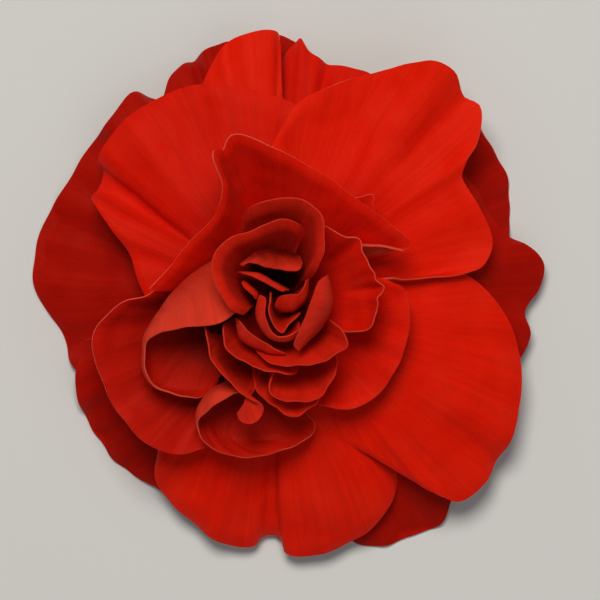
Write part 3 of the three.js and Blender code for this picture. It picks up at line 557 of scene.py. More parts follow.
FOLDED_PETALS: tuple[Petal, ...] = (
    FoldedPetal(
        "fold_petal_left",
        tone=Tone.FOLD,
        relief=Relief(ruffle=0.12, waves=4, crinkle=0.15), steps=(88, 64), ends=(0.06, 0),
        rails=(
            ((-2.4, -0.4, 9.8), (-2.6, -0.6, 9.8), (-2.7, -0.9, 9.8), (-2.7, -1.3, 9.8),
             (-2.5, -1.6, 9.8)),
            ((-5.2, 1.9, 11.2), (-6.8, 1, 10.9), (-8.4, -0.8, 10.3), (-9.4, -3.6, 9.7),
             (-8.2, -6.6, 9.8), (-5.4, -6.4, 10)),
            ((-6.4, 3.4, 12.9), (-8.4, 2.2, 13), (-11.6, -0.8, 12), (-13.4, -4.4, 10.9),
             (-12.5, -8.4, 10.3), (-8.6, -9.2, 10.1), (-6.6, -8, 10.1)),
            ((-6.1, 2.3, 14.7), (-7.4, 0.7, 15.2), (-10.2, -1.2, 14.6), (-13.5, -4.1, 12.6),
             (-13.2, -8.1, 11.5), (-9.2, -9.8, 10.8), (-6.8, -8.6, 10)),
            ((-4.2, -2, 17), (-6.6, -3, 16.6), (-10.4, -3.3, 15.4), (-13.3, -4.6, 13.6),
             (-13.1, -8, 12.4), (-9.2, -10, 11.3), (-6.8, -9, 10.1)))),
    FoldedPetal(
        "swirl_petal_lower",
        tone=Tone.FOLD,
        relief=Relief(ruffle=0.12, waves=4, phase=0.3, crinkle=0.15), steps=(104, 64), ends=(0, 0.1),
        rails=(
            ((-0.6, -2.6, 9.4), (-0.9, -2.7, 9.4), (-1.3, -2.7, 9.4), (-1.7, -2.6, 9.4),
             (-2, -2.4, 9.4)),
            ((0.6, -9.6, 8.8), (-1.8, -10.2, 9), (-4, -10.2, 9.1), (-5.6, -9.4, 9.2),
             (-5.6, -8, 9.6), (-4, -7.4, 10.2)),
            ((1, -10.8, 8.8), (1.1, -12.1, 8.7), (-1.6, -13.3, 8.9), (-4.6, -13.6, 9),
             (-7.2, -12.6, 9.3), (-8.3, -10.6, 10), (-7.2, -9, 11), (-5.4, -8.5, 12),
             (-4, -8.8, 12.6)),
            ((1.3, -11, 8.9), (1.9, -12.1, 8.8), (1.4, -13.2, 9), (-1.2, -14.4, 9.5),
             (-4.4, -14.8, 9.8), (-7.6, -13.6, 10.2), (-8.9, -11.4, 11.1), (-7.7, -9.9, 12.6),
             (-5.8, -9.3, 13.5), (-4.2, -9.3, 13.6)),
            ((1.6, -11.2, 9), (2.4, -12.2, 9.1), (2.2, -13.2, 9.3), (0.7, -14.3, 9.8),
             (-1.4, -15, 10.2), (-4.6, -15.5, 10.5), (-7.6, -14.3, 11), (-8.8, -12.3, 12),
             (-7.4, -10.9, 13.4), (-5.6, -10.2, 14), (-4.3, -9.9, 14)))),
    FoldedPetal(
        "swirl_petal_upper",
        tone=Tone.HEART, relief=Relief(ruffle=0.08, waves=3, crinkle=0.1), steps=(80, 44),
        rails=(
            ((-2.2, -1.9, 10.4), (-2.1, -2.2, 10.4), (-2, -2.5, 10.4), (-1.8, -2.8, 10.4)),
            ((-5.8, -3.8, 11.2), (-5.6, -6, 11.4), (-4, -8, 12.2), (-3.4, -8.6, 13),
             (-3.2, -8.9, 13.4)),
            ((-7.3, -3.8, 13.4), (-6.6, -6.6, 13.7), (-4.6, -8.8, 14.4), (-3.9, -9.6, 14.7),
             (-4, -10.2, 14.7)),
            ((-7.9, -3.2, 15.2), (-7.2, -6.2, 15.4), (-4.9, -9, 15.6), (-3.6, -9.9, 15.6),
             (-2.6, -10.4, 15.3), (-2.45, -11.2, 14.9), (-2.9, -11.95, 14.6), (-3.7, -12.3, 14.3),
             (-4.5, -12, 14.1), (-4.9, -11.3, 13.9)))),
)
"""Petals folded over themselves, left of and below the middle."""

HEART_PETALS: tuple[Petal, ...] = (
    SpreadPetal(
        "arch_petal", bearing=64, height=11.9, rise=(0,), land=(70, 78, 84, 84),
        tone=Tone.HEART,
        relief=Relief(ruffle=0.08, waves=3, crinkle=0.1, lip=0.6, lip_start=0.86),
        steps=(56, 36), ends=(0.2, 0.35), arrive=0.62,
        margin=(
            (-5.2, 6.7, 15.2), (-3.5, 7.4, 17.8), (-1.6, 8.1, 19.1), (-0.2, 8.4, 19.6), (1.3, 8, 19.8),
            (2.5, 7, 20), (2.8, 5.5, 20), (2.7, 3.8, 19.6), (2.2, 2.7, 18.9), (1.7, 1.7, 17.8))),
    SpreadPetal(
        "ring_petal", bearing=146, height=12.3, rise=(0,), land=(82, 86, 80, 74),
        tone=Tone.HEART,
        relief=Relief(ruffle=0.1, waves=3, crinkle=0.1, lip=0.7, lip_start=0.85),
        steps=(64, 36), ends=(0.35, 0.25), arrive=0.62,
        margin=(
            (1.5, 4.9, 16.4), (1.3, 5.8, 17.6), (-0.6, 6.1, 18.2), (-2.9, 5.3, 18.3), (-4.8, 4.7, 18.6),
            (-6.1, 3.6, 19), (-6.5, 2.1, 19.2), (-5.9, 0.4, 19.2), (-4.9, -1.1, 18.9), (-4.1, -1.8, 18.2))),
    FoldedPetal(
        "inner_fold_petal",
        tone=Tone.INNER,
        relief=Relief(ruffle=0.08, waves=3, crinkle=0.1), steps=(48, 40), ends=(0.12, 0.12),
        rails=(
            ((-2.2, 0.6, 12.9), (-1.6, 0.8, 12.9), (-0.8, 0.8, 12.9), (-0.2, 0.4, 12.9)),
            ((-3.5, 2.1, 14.2), (-2.5, 2.9, 14.2), (-0.6, 3, 14.2), (0.7, 2.5, 14.2)),
            ((-3.9, 2.7, 15.4), (-2.8, 3.7, 15.4), (-0.7, 4, 15.4), (1, 3.4, 15.4)),
            ((-4.4, 2.7, 16.6), (-3.1, 3.6, 16.8), (-0.9, 3.5, 16.8), (1.2, 3, 16.6)),
            ((-4.9, 2.5, 17.2), (-3.4, 3.2, 17.9), (-1.4, 2.8, 17.9), (0.6, 2.6, 17.7),
             (1.4, 2.5, 17.2)),
            ((-5.1, 2.3, 17.4), (-4.6, 2.5, 18), (-3.6, 2.8, 18.4), (-1.6, 2.3, 18.4),
             (0.2, 2.1, 18.2), (1.2, 2, 17.8), (1.6, 2.1, 17.3)))),
    FoldedPetal(
        "heart_petal_upper",
        tone=Tone.HEART,
        relief=Relief(ruffle=0.06, waves=2, crinkle=0.08), steps=(32, 28), ends=(0.15, 0.2),
        rails=(
            ((-1.9, 0.5, 13.3), (-1.5, 0.5, 13.3), (-1.1, 0.4, 13.3)),
            ((-4.4, 1.7, 15.2), (-2.6, 1.4, 15), (-1.2, 0.8, 14.9), (-0.1, 0.3, 14.8)),
            ((-5, 2, 16.6), (-3.1, 1.8, 17.1), (-1.5, 1, 16.8), (-0.1, 0, 16.1)),
            ((-5.1, 1.9, 16.7), (-4.3, 1.9, 17.3), (-3.3, 1.45, 17.4), (-1.8, 0.75, 17.1),
             (-0.8, 0.15, 16.6), (0, -0.2, 15.9)))),
    FoldedPetal(
        "heart_petal_left",
        tone=Tone.HEART,
        relief=Relief(ruffle=0.06, waves=2, crinkle=0.08), steps=(32, 28), ends=(0.15, 0.2),
        rails=(
            ((-1.9, -0.4, 13), (-1.8, -0.7, 13), (-1.7, -1, 13)),
            ((-3.8, 0.7, 14.8), (-3.1, 0.1, 14.8), (-2.8, -0.4, 14.8)),
            ((-4.5, 1.2, 16.2), (-3.6, 0.5, 16.4), (-3, -0.2, 16.2), (-3, -0.7, 15.9)),
            ((-4.7, 1.1, 16.2), (-4.2, 0.6, 16.8), (-3.6, 0, 16.8), (-3.2, -0.5, 16.4),
             (-3.05, -0.9, 15.9)))),
    FoldedPetal(
        "heart_petal_right",
        tone=Tone.HEART,
        relief=Relief(ruffle=0.06, waves=2, crinkle=0.08), steps=(36, 32), ends=(0.1, 0.1),
        rails=(
            ((-0.4, -0.6, 12.8), (-0.4, -0.9, 12.8), (-0.4, -1.2, 12.8)),
            ((1.4, 0.6, 15.2), (1.2, -0.8, 15), (0.2, -1.5, 15), (-0.7, -1.6, 14.9)),
            ((1.8, 1.3, 17), (1.6, -0.5, 17), (0.5, -1.5, 16.8), (-0.6, -1.6, 16.5),
             (-1.3, -1.35, 16.2)),
            ((1.6, 1.7, 17.5), (1.4, 0.6, 17.9), (1, -0.1, 17.9), (0, -0.15, 17.8),
             (-0.8, -0.3, 17.5), (-1.5, -1.1, 16.5)))),
    FoldedPetal(
        "heart_petal_inner",
        tone=Tone.HEART,
        relief=Relief(ruffle=0.04, waves=2, crinkle=0.05), steps=(40, 26), ends=(0.3, 0.3),
        rails=(
            ((-1.2, -1.3, 13.3), (-0.9, -1.4, 13.3), (-0.6, -1.3, 13.3)),
            ((-1.7, -0.2, 15), (-1.5, -1.8, 15), (-0.9, -2.6, 15), (-0.1, -2.3, 15),
             (0.8, -1.8, 15)),
            ((-1.7, 0.7, 16.4), (-1.75, -0.6, 17.2), (-1.85, -1.6, 17.2), (-1.4, -3, 17),
             (-0.6, -3.75, 17), (0, -2.9, 17), (0.9, -2.1, 16.9), (1.6, -1.5, 16.2)))),
    FoldedPetal(
        "heart_petal_lower",
        tone=Tone.HEART,
        relief=Relief(ruffle=0.05, waves=2, crinkle=0.06), steps=(40, 28), ends=(0.3, 0.3),
        rails=(
            ((-1.4, -1.6, 12.7), (-0.9, -1.8, 12.7), (-0.4, -1.6, 12.7)),
            ((-2.3, -0.6, 14.6), (-2.4, -2.4, 14.6), (-1.3, -3.6, 14.5), (0.2, -3.2, 14.8),
             (0.8, -2.5, 15)),
            ((-2.7, 0.2, 16.6), (-3, -2.2, 16.8), (-1.7, -4.3, 16.6), (0.3, -4.3, 16.8),
             (1.1, -3.2, 17)),
            ((-2.5, 0.7, 16.8), (-2.2, -0.6, 17.8), (-2.2, -2.3, 17.8), (-1.2, -4.1, 17.6),
             (0.1, -3.95, 17.6), (0.9, -3.3, 17.6), (1.4, -2.6, 17)))),
    FoldedPetal(
        "wrap_petal_right",
        tone=Tone.HEART,
        relief=Relief(ruffle=0.06, waves=2, crinkle=0.08), steps=(44, 36), ends=(0.1, 0.06),
        rails=(
            ((0, -1, 12.2), (0, -1.4, 12.2), (-0.1, -1.8, 12.2)),
            ((2.8, 0.6, 14), (2.7, -1.6, 14), (1.2, -3.6, 14)),
            ((3.6, 1.5, 16.6), (4, -0.8, 16.8), (3.1, -3, 16.2), (1.1, -5, 15.6)),
            ((3.5, 1.9, 17.6), (3.4, -0.6, 18.3), (2.5, -3, 17.6), (0.9, -5.4, 16.5)),
            ((3.3, 2.1, 17.8), (2.7, 0.9, 18.8), (2.1, -0.6, 19), (1.4, -2.6, 18.6),
             (0.65, -4.2, 18), (0.4, -5, 17.4), (0.7, -5.7, 16.6)))),
    FoldedPetal(
        "wrap_petal_lower_left",
        tone=Tone.HEART,
        relief=Relief(ruffle=0.06, waves=2, crinkle=0.08), steps=(36, 28), ends=(0.1, 0.1),
        rails=(
            ((-1.9, -1.5, 12.2), (-1.7, -1.8, 12.2), (-1.3, -2, 12.2)),
            ((-4, -2.2, 13.4), (-3.4, -4, 13.3), (-1.2, -4.8, 13.2)),
            ((-5, -2.4, 15.2), (-4.5, -4.2, 15.6), (-2.4, -5.4, 15.4), (-0.2, -5.7, 15)),
            ((-4.9, -2, 15.8), (-4.4, -3, 16.6), (-3.3, -4, 16.8), (-2, -4.9, 16.6),
             (-0.9, -5.4, 16.2), (0.1, -5.7, 15.5)))),
)
"""The small petals wrapped tightly in the heart."""

SIDE_SEPALS: tuple[Petal, ...] = (
    SpreadPetal(
        "side_sepal_left", bearing=158, height=3.6, rise=(4,), land=(-14,),
        relief=Relief(ruffle=0.05, crinkle=0.05), steps=(40, 28),
        margin=(
            (-2.6, 1.6, 3.2), (-4.4, 3.4, 3.0), (-7.2, 3.8, 2.6), (-9.6, 2.6, 2.0), (-8.0, 0.8, 2.6),
            (-5.6, -0.4, 3.0), (-4.0, -1.0, 3.2))),
    SpreadPetal(
        "side_sepal_right", bearing=18, height=3.6, rise=(4,), land=(-14,),
        relief=Relief(ruffle=0.05, crinkle=0.05), steps=(40, 28),
        margin=(
            (1.8, -1.2, 3.2), (4.0, -0.8, 3.0), (6.2, 0.4, 2.6), (7.4, 2.6, 2.0), (5.2, 3.4, 2.6),
            (2.6, 3.0, 3.0), (0.8, 1.8, 3.2))),
)
"""The two small side sepals."""
SPUR_SEPAL = SpreadPetal(
    "spur_sepal", bearing=270, height=3.5, rise=(-34,), land=(24, 6, 24),
    relief=Relief(ruffle=0.05, crinkle=0.05), steps=(48, 32),
    margin=(
        (-3.4, -2.4, 3.4), (-5.2, -5.2, 3.2), (-4.4, -8.8, 2.8), (-1.4, -11.4, 2.4),
        (1.8, -8.8, 2.8), (2.8, -5.2, 3.2), (1.0, -2.4, 3.4),
    ),
)
"""The boat-shaped lower sepal, which runs out into the spur."""
SPUR_ROUTE: tuple[Point, ...] = (
    (-1.3, -5.2, 2.1), (-0.6, -7.4, 1.3), (1.8, -9.8, 0.95), (5.2, -11.4, 0.95), (8.6, -11.8, 1.1),
)
PEDICEL_ROUTE: tuple[Point, ...] = (
    (-1.2, -0.6, 2.9), (-1.25, 0.1, 1.7), (-1.2, 2.0, 1.0), (-0.2, 8.0, 0.95),
    (1.6, 13.0, 0.95), (2.6, 17.0, 0.95),
)


class NodeSheet:
    """Adds and joins the nodes of one tree, left to right."""

    SPACING = 180

    def __init__(self, tree: bpy.types.NodeTree) -> None:
        """Keeps the tree that the nodes go into."""
        self.tree = tree
        self.column = 0

    def add(self, kind: str, **settings: object) -> bpy.types.Node:
        """Adds a node.

        Args:
            kind: The node's type name.
            settings: Attributes to set on it.

        Returns:
            The new node.
        """
        node = self.tree.nodes.new(kind)
        node.location = (self.column, 0)
        self.column += self.SPACING
        for name, value in settings.items():
            setattr(node, name, value)
        return node

    def join(self, source: bpy.types.NodeSocket, target: bpy.types.NodeSocket) -> None:
        """Links an output to an input."""
        self.tree.links.new(source, target)

    def feed(self, node: bpy.types.Node, key: object, value: object) -> None:
        """Sets an input to a value, or links it when the value is a socket."""
        if isinstance(value, bpy.types.NodeSocket):
            self.join(value, node.inputs[key])
        else:
            node.inputs[key].default_value = value

    def math(self, operation: str, *values: object, clamp: bool = False) -> bpy.types.NodeSocket:
        """Adds a Math node fed by the values and gives its result."""
        node = self.add("ShaderNodeMath", operation=operation, use_clamp=clamp)
        for index, value in enumerate(values):
            self.feed(node, index, value)
        return node.outputs[0]

    def vector(self, x: object, y: object, z: object) -> bpy.types.NodeSocket:
        """Adds a Combine XYZ node and gives its vector."""
        node = self.add("ShaderNodeCombineXYZ")
        for index, value in enumerate((x, y, z)):
            self.feed(node, index, value)
        return node.outputs[0]

    def scaled(self, value: object, by: object) -> bpy.types.NodeSocket:
        """Multiplies a value."""
        return self.math("MULTIPLY", value, by)

    def added(self, base: object, value: object, by: object) -> bpy.types.NodeSocket:
        """Adds a share of a value to another."""
        return self.math("ADD", base, self.scaled(value, by))

    def swayed(self, base: object, noise_value: object, by: float) -> bpy.types.NodeSocket:
        """Moves a value up and down with a noise whose middle is a half."""
        return self.added(base, self.math("SUBTRACT", noise_value, 0.5), by)

    def noise(
        self, place: object, scale: float, detail: float, rough: float = 0.5
    ) -> bpy.types.NodeSocket:
        """Adds a noise texture read at a place and gives its value."""
        node = self.add("ShaderNodeTexNoise")
        self.feed(node, "Vector", place)
        self.feed(node, "Scale", scale)
        self.feed(node, "Detail", detail)
        self.feed(node, "Roughness", rough)
        return node.outputs["Fac"]

    def spread(self, value: object, low: float, high: float) -> bpy.types.NodeSocket:
        """Maps a value so that low gives 0 and high gives 1, held between them."""
        node = self.add("ShaderNodeMapRange", clamp=True)
        self.feed(node, "Value", value)
        self.feed(node, "From Min", low)
        self.feed(node, "From Max", high)
        return node.outputs["Result"]

    def mix(
        self, share: object, first: object, second: object, blend: str = "MIX"
    ) -> bpy.types.NodeSocket:
        """Adds a colour mix and gives its colour."""
        node = self.add("ShaderNodeMix", data_type="RGBA", blend_type=blend)
        self.feed(node, 0, share)
        self.feed(node, 6, first)
        self.feed(node, 7, second)
        return node.outputs[2]


FLOW_MAP = "petal_flow"
"""UV map that follows each petal: tens of millimetres across, and share of its length along."""

VEIN_GROUP = "petal_veins"
COLOUR_INPUTS = ("Claw Colour", "Middle Colour", "Margin Colour", "Blotch And Sheen Colour")
VALUE_INPUTS = (
    "Vein Count", "Vein Depth", "Blotch And Sheen", "Roughness", "Claw Reach", "Margin Start",
)
VEINS_ALONG = 1.6
FINE_VEINS = (150.0, 9.0)
"""Fine veins per unit of the flow map across a petal, and along it."""
BLOTCH_SCALE = 190.0
GRAIN_SCALE = 5200.0
"""Blotches and grains per metre."""


def vein_group() -> bpy.types.ShaderNodeTree:
    """Builds once the group that draws a petal's veins and streaks, its painted shade towards the claw, its
    painted highlight towards the margin and its blotches.

    Returns:
        The group. It puts out the petal's colour, a bump height and a roughness.
    """
    found = bpy.data.node_groups.get(VEIN_GROUP)
    if found:
        return found
    group = bpy.data.node_groups.new(VEIN_GROUP, "ShaderNodeTree")
    for name in COLOUR_INPUTS:
        group.interface.new_socket(name=name, in_out="INPUT", socket_type="NodeSocketColor")
    for name in VALUE_INPUTS:
        group.interface.new_socket(name=name, in_out="INPUT", socket_type="NodeSocketFloat")
    for name, kind in (("Colour", "Color"), ("Height", "Float"), ("Roughness", "Float")):
        group.interface.new_socket(name=name, in_out="OUTPUT", socket_type="NodeSocket" + kind)
    sheet = NodeSheet(group)
    given = sheet.add("NodeGroupInput")
    flow = sheet.add("ShaderNodeUVMap", uv_map=FLOW_MAP)
    place = sheet.add("ShaderNodeTexCoord").outputs["Object"]
    split = sheet.add("ShaderNodeSeparateXYZ")
    sheet.join(flow.outputs["UV"], split.inputs[0])
    u, v = split.outputs[0], split.outputs[1]

    wander = sheet.noise(sheet.vector(u, v, 0.0), 2.2, 2.0)
    bent = sheet.added(u, wander, 0.12)
    vein_across = sheet.scaled(bent, given.outputs["Vein Count"])
    veins = sheet.vector(vein_across, sheet.scaled(v, VEINS_ALONG), 0.0)
    streak = sheet.noise(veins, 1.0, 5.0, 0.62)
    hairs = sheet.vector(sheet.scaled(bent, FINE_VEINS[0]), sheet.scaled(v, FINE_VEINS[1]), 2.0)
    fine = sheet.noise(hairs, 1.0, 3.0, 0.6)
    blotch = sheet.noise(place, BLOTCH_SCALE, 3.0, 0.55)
    grain = sheet.noise(place, GRAIN_SCALE, 2.0, 0.6)

    # Painted highlight: on the petals the margin colour is lighter where the margin catches the light; on
    # the green parts it is their own colour.
    tip = sheet.spread(sheet.added(v, streak, 0.35), given.outputs["Margin Start"], 1.25)
    # Painted shade: on the petals the claw colour is darker where the claw lies deep in the flower; on the
    # green parts it is their own colour.
    along_claw = sheet.math("DIVIDE", v, given.outputs["Claw Reach"])
    root = sheet.spread(sheet.added(along_claw, blotch, 0.2), 0.15, 1.05)
    colour = sheet.mix(root, given.outputs["Claw Colour"], given.outputs["Middle Colour"])
    colour = sheet.mix(sheet.scaled(tip, 0.75), colour, given.outputs["Margin Colour"])
    # Blotches: on the petals lighter pink patches of painted sheen, on the green parts their own blotching.
    blotch_and_sheen_share = sheet.scaled(sheet.spread(blotch, 0.42, 0.72), given.outputs["Blotch And Sheen"])
    colour = sheet.mix(blotch_and_sheen_share, colour, given.outputs["Blotch And Sheen Colour"])
    level = sheet.added(0.84, sheet.spread(streak, 0.25, 0.75), 0.2)
    level = sheet.swayed(sheet.swayed(level, fine, 0.22), grain, 0.18)
    colour = sheet.mix(1.0, colour, sheet.vector(level, level, level), "MULTIPLY")

    ridge = sheet.scaled(streak, given.outputs["Vein Depth"])
    height = sheet.added(sheet.added(ridge, fine, 0.22), grain, 0.1)
    rough = sheet.swayed(given.outputs["Roughness"], blotch, 0.25)
    result = sheet.add("NodeGroupOutput")
    sheet.join(colour, result.inputs["Colour"])
    sheet.join(height, result.inputs["Height"])
    sheet.join(rough, result.inputs["Roughness"])
    return group


BUMP_DISTANCE = 0.12
GLOW_SCALE = 0.5
"""Full height of the veins' bump, and how far light travels inside a petal, in mm."""
GLOW_REACH = (1.0, 0.16, 0.06)
SHEEN_TINT = (1.0, 0.2, 0.12, 1.0)
SPECULAR_TINT = (1.0, 0.22, 0.14, 1.0)


@dataclass(frozen=True)
class TissueFinish:
    """The finish of one side of a petal or sepal.

    Attributes:
        name: Material name.
        claw: Colour at the claw; on the petals a darker colour, painted shade deep in the flower.
        middle: Colour over most of the surface; on the petals a lit or shaded copy of one scarlet, by tone.
        margin: Colour towards the margin; on the petals a lighter colour, painted highlight where the
            margin catches the light.
        blotch_and_sheen_colour: Colour of the soft blotches; on the petals lighter pink patches of painted
            sheen, on the green parts their own blotching.
        blotch_and_sheen: Strength of the blotches and painted sheen.
        vein_count: Veins per centimetre of margin.
        vein_depth: Height of the veins' bump, as a share of the full bump.
        roughness: Middle roughness.
        glow: How much light the tissue lets through its surface.
        sheen: Strength of the velvet sheen.
        specular: Strength of the shine.
        bump: Strength of the vein relief.
        claw_reach: Share of the petal over which the claw's colour fades out.
        margin_start: Share of the petal where the margin's colour comes in.
    """

    name: str
    claw: Point
    middle: Point
    margin: Point
    blotch_and_sheen_colour: Point
    blotch_and_sheen: float = 0.35
    vein_count: float = 14.0
    vein_depth: float = 0.6
    roughness: float = 0.5
    glow: float = 0.22
    sheen: float = 0.03
    specular: float = 0.16
    bump: float = 0.55
    claw_reach: float = 0.62
    margin_start: float = 0.35

    def material(self) -> bpy.types.Material:
        """Builds the material once and gives it."""
        found = bpy.data.materials.get(self.name)
        if found:
            return found
        made = bpy.data.materials.new(self.name)
        made.use_nodes = True
        sheet = NodeSheet(made.node_tree)
        shader = made.node_tree.nodes["Principled BSDF"]
        group = sheet.add("ShaderNodeGroup", node_tree=vein_group())
        colours = (self.claw, self.middle, self.margin, self.blotch_and_sheen_colour)
        for key, colour in zip(COLOUR_INPUTS, colours):
            group.inputs[key].default_value = (*colour, 1.0)
        values = (
            self.vein_count, self.vein_depth, self.blotch_and_sheen, self.roughness,
            self.claw_reach, self.margin_start,
        )
        for key, value in zip(VALUE_INPUTS, values):
            group.inputs[key].default_value = value
        bump = sheet.add("ShaderNodeBump")
        bump.inputs["Strength"].default_value = self.bump
        bump.inputs["Distance"].default_value = BUMP_DISTANCE * MM
        sheet.join(group.outputs["Height"], bump.inputs["Height"])
        sheet.join(bump.outputs["Normal"], shader.inputs["Normal"])
        sheet.join(group.outputs["Colour"], shader.inputs["Base Color"])
        sheet.join(group.outputs["Roughness"], shader.inputs["Roughness"])
        shader.inputs["Subsurface Weight"].default_value = self.glow
        shader.inputs["Subsurface Radius"].default_value = GLOW_REACH
        shader.inputs["Subsurface Scale"].default_value = GLOW_SCALE * MM
        shader.inputs["Specular IOR Level"].default_value = self.specular
        shader.inputs["Sheen Weight"].default_value = self.sheen
        shader.inputs["Sheen Roughness"].default_value = 0.45
        shader.inputs["Sheen Tint"].default_value = SHEEN_TINT
        shader.inputs["Specular Tint"].default_value = SPECULAR_TINT
        made.diffuse_color = (*self.middle, 1.0)
        return made


# Lit and shaded copies of one scarlet, the low outer ring darkest as painted shade. Each darkens towards
# its claw as painted shade and lightens towards its margin as painted highlight; the fold, heart and inner
# tones go near black at the claw, painted shade in the hollows, and the inner tone is near black over its
# middle with a lip of painted highlight.
FACE_FINISHES: dict[Tone, TissueFinish] = {
    Tone.WELL_LIT: TissueFinish(
        "scarlet_petal_well_lit", (0.34, 0.0015, 0.001), (0.76, 0.007, 0.0008),
        (0.84, 0.013, 0.002), (0.88, 0.03, 0.01)),
    Tone.LESS_LIT: TissueFinish(
        "scarlet_petal_less_lit", (0.26, 0.0012, 0.001), (0.64, 0.005, 0.0008),
        (0.74, 0.01, 0.002), (0.8, 0.024, 0.009)),
    Tone.SHADED_LOW: TissueFinish(
        "scarlet_petal_shaded_low", (0.18, 0.0008, 0.0006), (0.36, 0.0025, 0.0006),
        (0.46, 0.006, 0.0015), (0.52, 0.012, 0.005)),
    Tone.FOLD: TissueFinish(
        "scarlet_petal_fold", (0.02, 0.0002, 0.0001), (0.32, 0.002, 0.0005),
        (0.66, 0.012, 0.004), (0.5, 0.01, 0.004),
        claw_reach=1.1, margin_start=0.5),
    Tone.HEART: TissueFinish(
        "scarlet_petal_heart", (0.03, 0.0002, 0.0001), (0.46, 0.005, 0.001),
        (0.88, 0.026, 0.009), (0.7, 0.02, 0.009),
        vein_count=10.0, claw_reach=1.0, margin_start=0.6),
    Tone.INNER: TissueFinish(
        "scarlet_petal_inner", (0.02, 0.0002, 0.0001), (0.12, 0.001, 0.0004), (0.95, 0.034, 0.013),
        (0.5, 0.012, 0.005), vein_count=10.0, claw_reach=0.9, margin_start=0.88),
}
# The paler salmon is the reverse side's own colour; its darker claw is painted shade, and the inner
# reverse's near-black middle and light margin are painted shade and painted highlight.
PLAIN_REVERSE = TissueFinish(
    "petal_reverse", (0.26, 0.006, 0.002), (0.56, 0.02, 0.007),
    (0.7, 0.045, 0.02), (0.72, 0.055, 0.028),
    vein_depth=0.8, roughness=0.55, sheen=0.06)
FOLD_REVERSE = TissueFinish(
    "petal_reverse_fold", (0.1, 0.001, 0.0005), (0.5, 0.015, 0.005),
    (0.86, 0.055, 0.024), (0.74, 0.045, 0.022),
    vein_depth=0.8, roughness=0.55, sheen=0.06, claw_reach=1.0)
HEART_REVERSE = TissueFinish(
    "petal_reverse_heart", (0.05, 0.0004, 0.0003), (0.46, 0.008, 0.002),
    (0.86, 0.032, 0.014), (0.7, 0.026, 0.013),
    vein_depth=0.6, roughness=0.5, sheen=0.04, claw_reach=1.0)
INNER_REVERSE = TissueFinish(
    "petal_reverse_inner", (0.02, 0.0002, 0.0001), (0.12, 0.0015, 0.0005), (0.98, 0.045, 0.02),
    (0.5, 0.016, 0.007), vein_depth=0.6, roughness=0.5, sheen=0.04, claw_reach=0.9, margin_start=0.88)
REVERSE_FINISHES: dict[Tone, TissueFinish] = {
    Tone.WELL_LIT: PLAIN_REVERSE, Tone.LESS_LIT: PLAIN_REVERSE, Tone.SHADED_LOW: PLAIN_REVERSE,
    Tone.FOLD: FOLD_REVERSE, Tone.HEART: HEART_REVERSE, Tone.INNER: INNER_REVERSE,
}
# Rim faces: a lighter pink, painted highlight along the petals' edges.
RIM_HIGHLIGHT_STRONG = TissueFinish(
    "petal_rim_highlight_strong", (0.4, 0.01, 0.004), (0.74, 0.045, 0.02),
    (0.82, 0.09, 0.05), (0.84, 0.11, 0.065),
    vein_depth=0.2, roughness=0.45, glow=0.3)
RIM_HIGHLIGHT_SOFT = TissueFinish(
    "petal_rim_highlight_soft", (0.3, 0.004, 0.0015), (0.6, 0.02, 0.008),
    (0.7, 0.038, 0.017), (0.74, 0.055, 0.028),
    vein_depth=0.2, roughness=0.45, glow=0.3)
RIM_HIGHLIGHTS_BY_TONE: dict[Tone, TissueFinish] = {
    Tone.WELL_LIT: RIM_HIGHLIGHT_STRONG, Tone.LESS_LIT: RIM_HIGHLIGHT_STRONG, Tone.SHADED_LOW: RIM_HIGHLIGHT_SOFT, Tone.FOLD: RIM_HIGHLIGHT_STRONG,
    Tone.HEART: RIM_HIGHLIGHT_SOFT, Tone.INNER: RIM_HIGHLIGHT_SOFT,
}
# The knob's green base is its own colour; its near-black red above is painted shade deep in the heart.
KNOB_FINISH = TissueFinish(
    "receptacle_green_and_shade", (0.3, 0.36, 0.1), (0.06, 0.002, 0.001),
    (0.05, 0.0008, 0.0004), (0.08, 0.002, 0.001),
    vein_count=6.0, roughness=0.6, sheen=0.0, claw_reach=0.5)
SEPAL_FINISH = TissueFinish(
    "sepal_green", (0.3, 0.36, 0.1), (0.36, 0.44, 0.12), (0.42, 0.46, 0.16), (0.46, 0.3, 0.14),
    vein_count=8.0, roughness=0.5, sheen=0.05)
SPUR_FINISH = TissueFinish(
    "spur_flushed", (0.36, 0.4, 0.12), (0.4, 0.3, 0.11), (0.42, 0.16, 0.07), (0.5, 0.1, 0.05),
    vein_count=8.0, roughness=0.5, sheen=0.05)
STEM_FINISH = TissueFinish(
    "stalk_green", (0.2, 0.32, 0.07), (0.24, 0.36, 0.09), (0.3, 0.4, 0.12), (0.36, 0.24, 0.1),
    vein_count=6.0, vein_depth=0.3, roughness=0.4, sheen=0.0)


def choose_none() -> None:
    """Leaves nothing selected."""
    bpy.ops.object.select_all(action="DESELECT")


def choose_only(piece: bpy.types.Object) -> None:
    """Makes a piece the only selected one, and active."""
    choose_none()
    piece.select_set(True)
    bpy.context.view_layer.objects.active = piece


def apply_all(piece: bpy.types.Object) -> None:
    """Applies every modifier of a piece, first to last."""
    choose_only(piece)
    for modifier in list(piece.modifiers):
        bpy.ops.object.modifier_apply(modifier=modifier.name)


def frame_shift() -> np.ndarray:
    """Works out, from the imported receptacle, where the flower's own frame lies, in mm."""
    low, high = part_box("receptacle")
    middle = [(low[i] + high[i]) / 2 / MM for i in (0, 1)]
    return np.array([middle[0] - AXIS[0], middle[1] - AXIS[1], low[2] / MM - RECEPTACLE_LOW])


SHIFT = frame_shift()
SHEET_REST = 0.17
"""Least height of a sheet's middle above the surface it lies on, in mm."""
TUBE_REST = 0.02
"""Least height of a tube's skin above the surface, in mm."""
RIM_GROUP = "full_thickness"


def new_flow_layer(piece: bpy.types.Object) -> bpy.types.MeshUVLoopLayer:
    """Drops a piece's UV maps and gives it one empty flow map."""
    while piece.data.uv_layers:
        piece.data.uv_layers.remove(piece.data.uv_layers[0])
    return piece.data.uv_layers.new(name=FLOW_MAP)


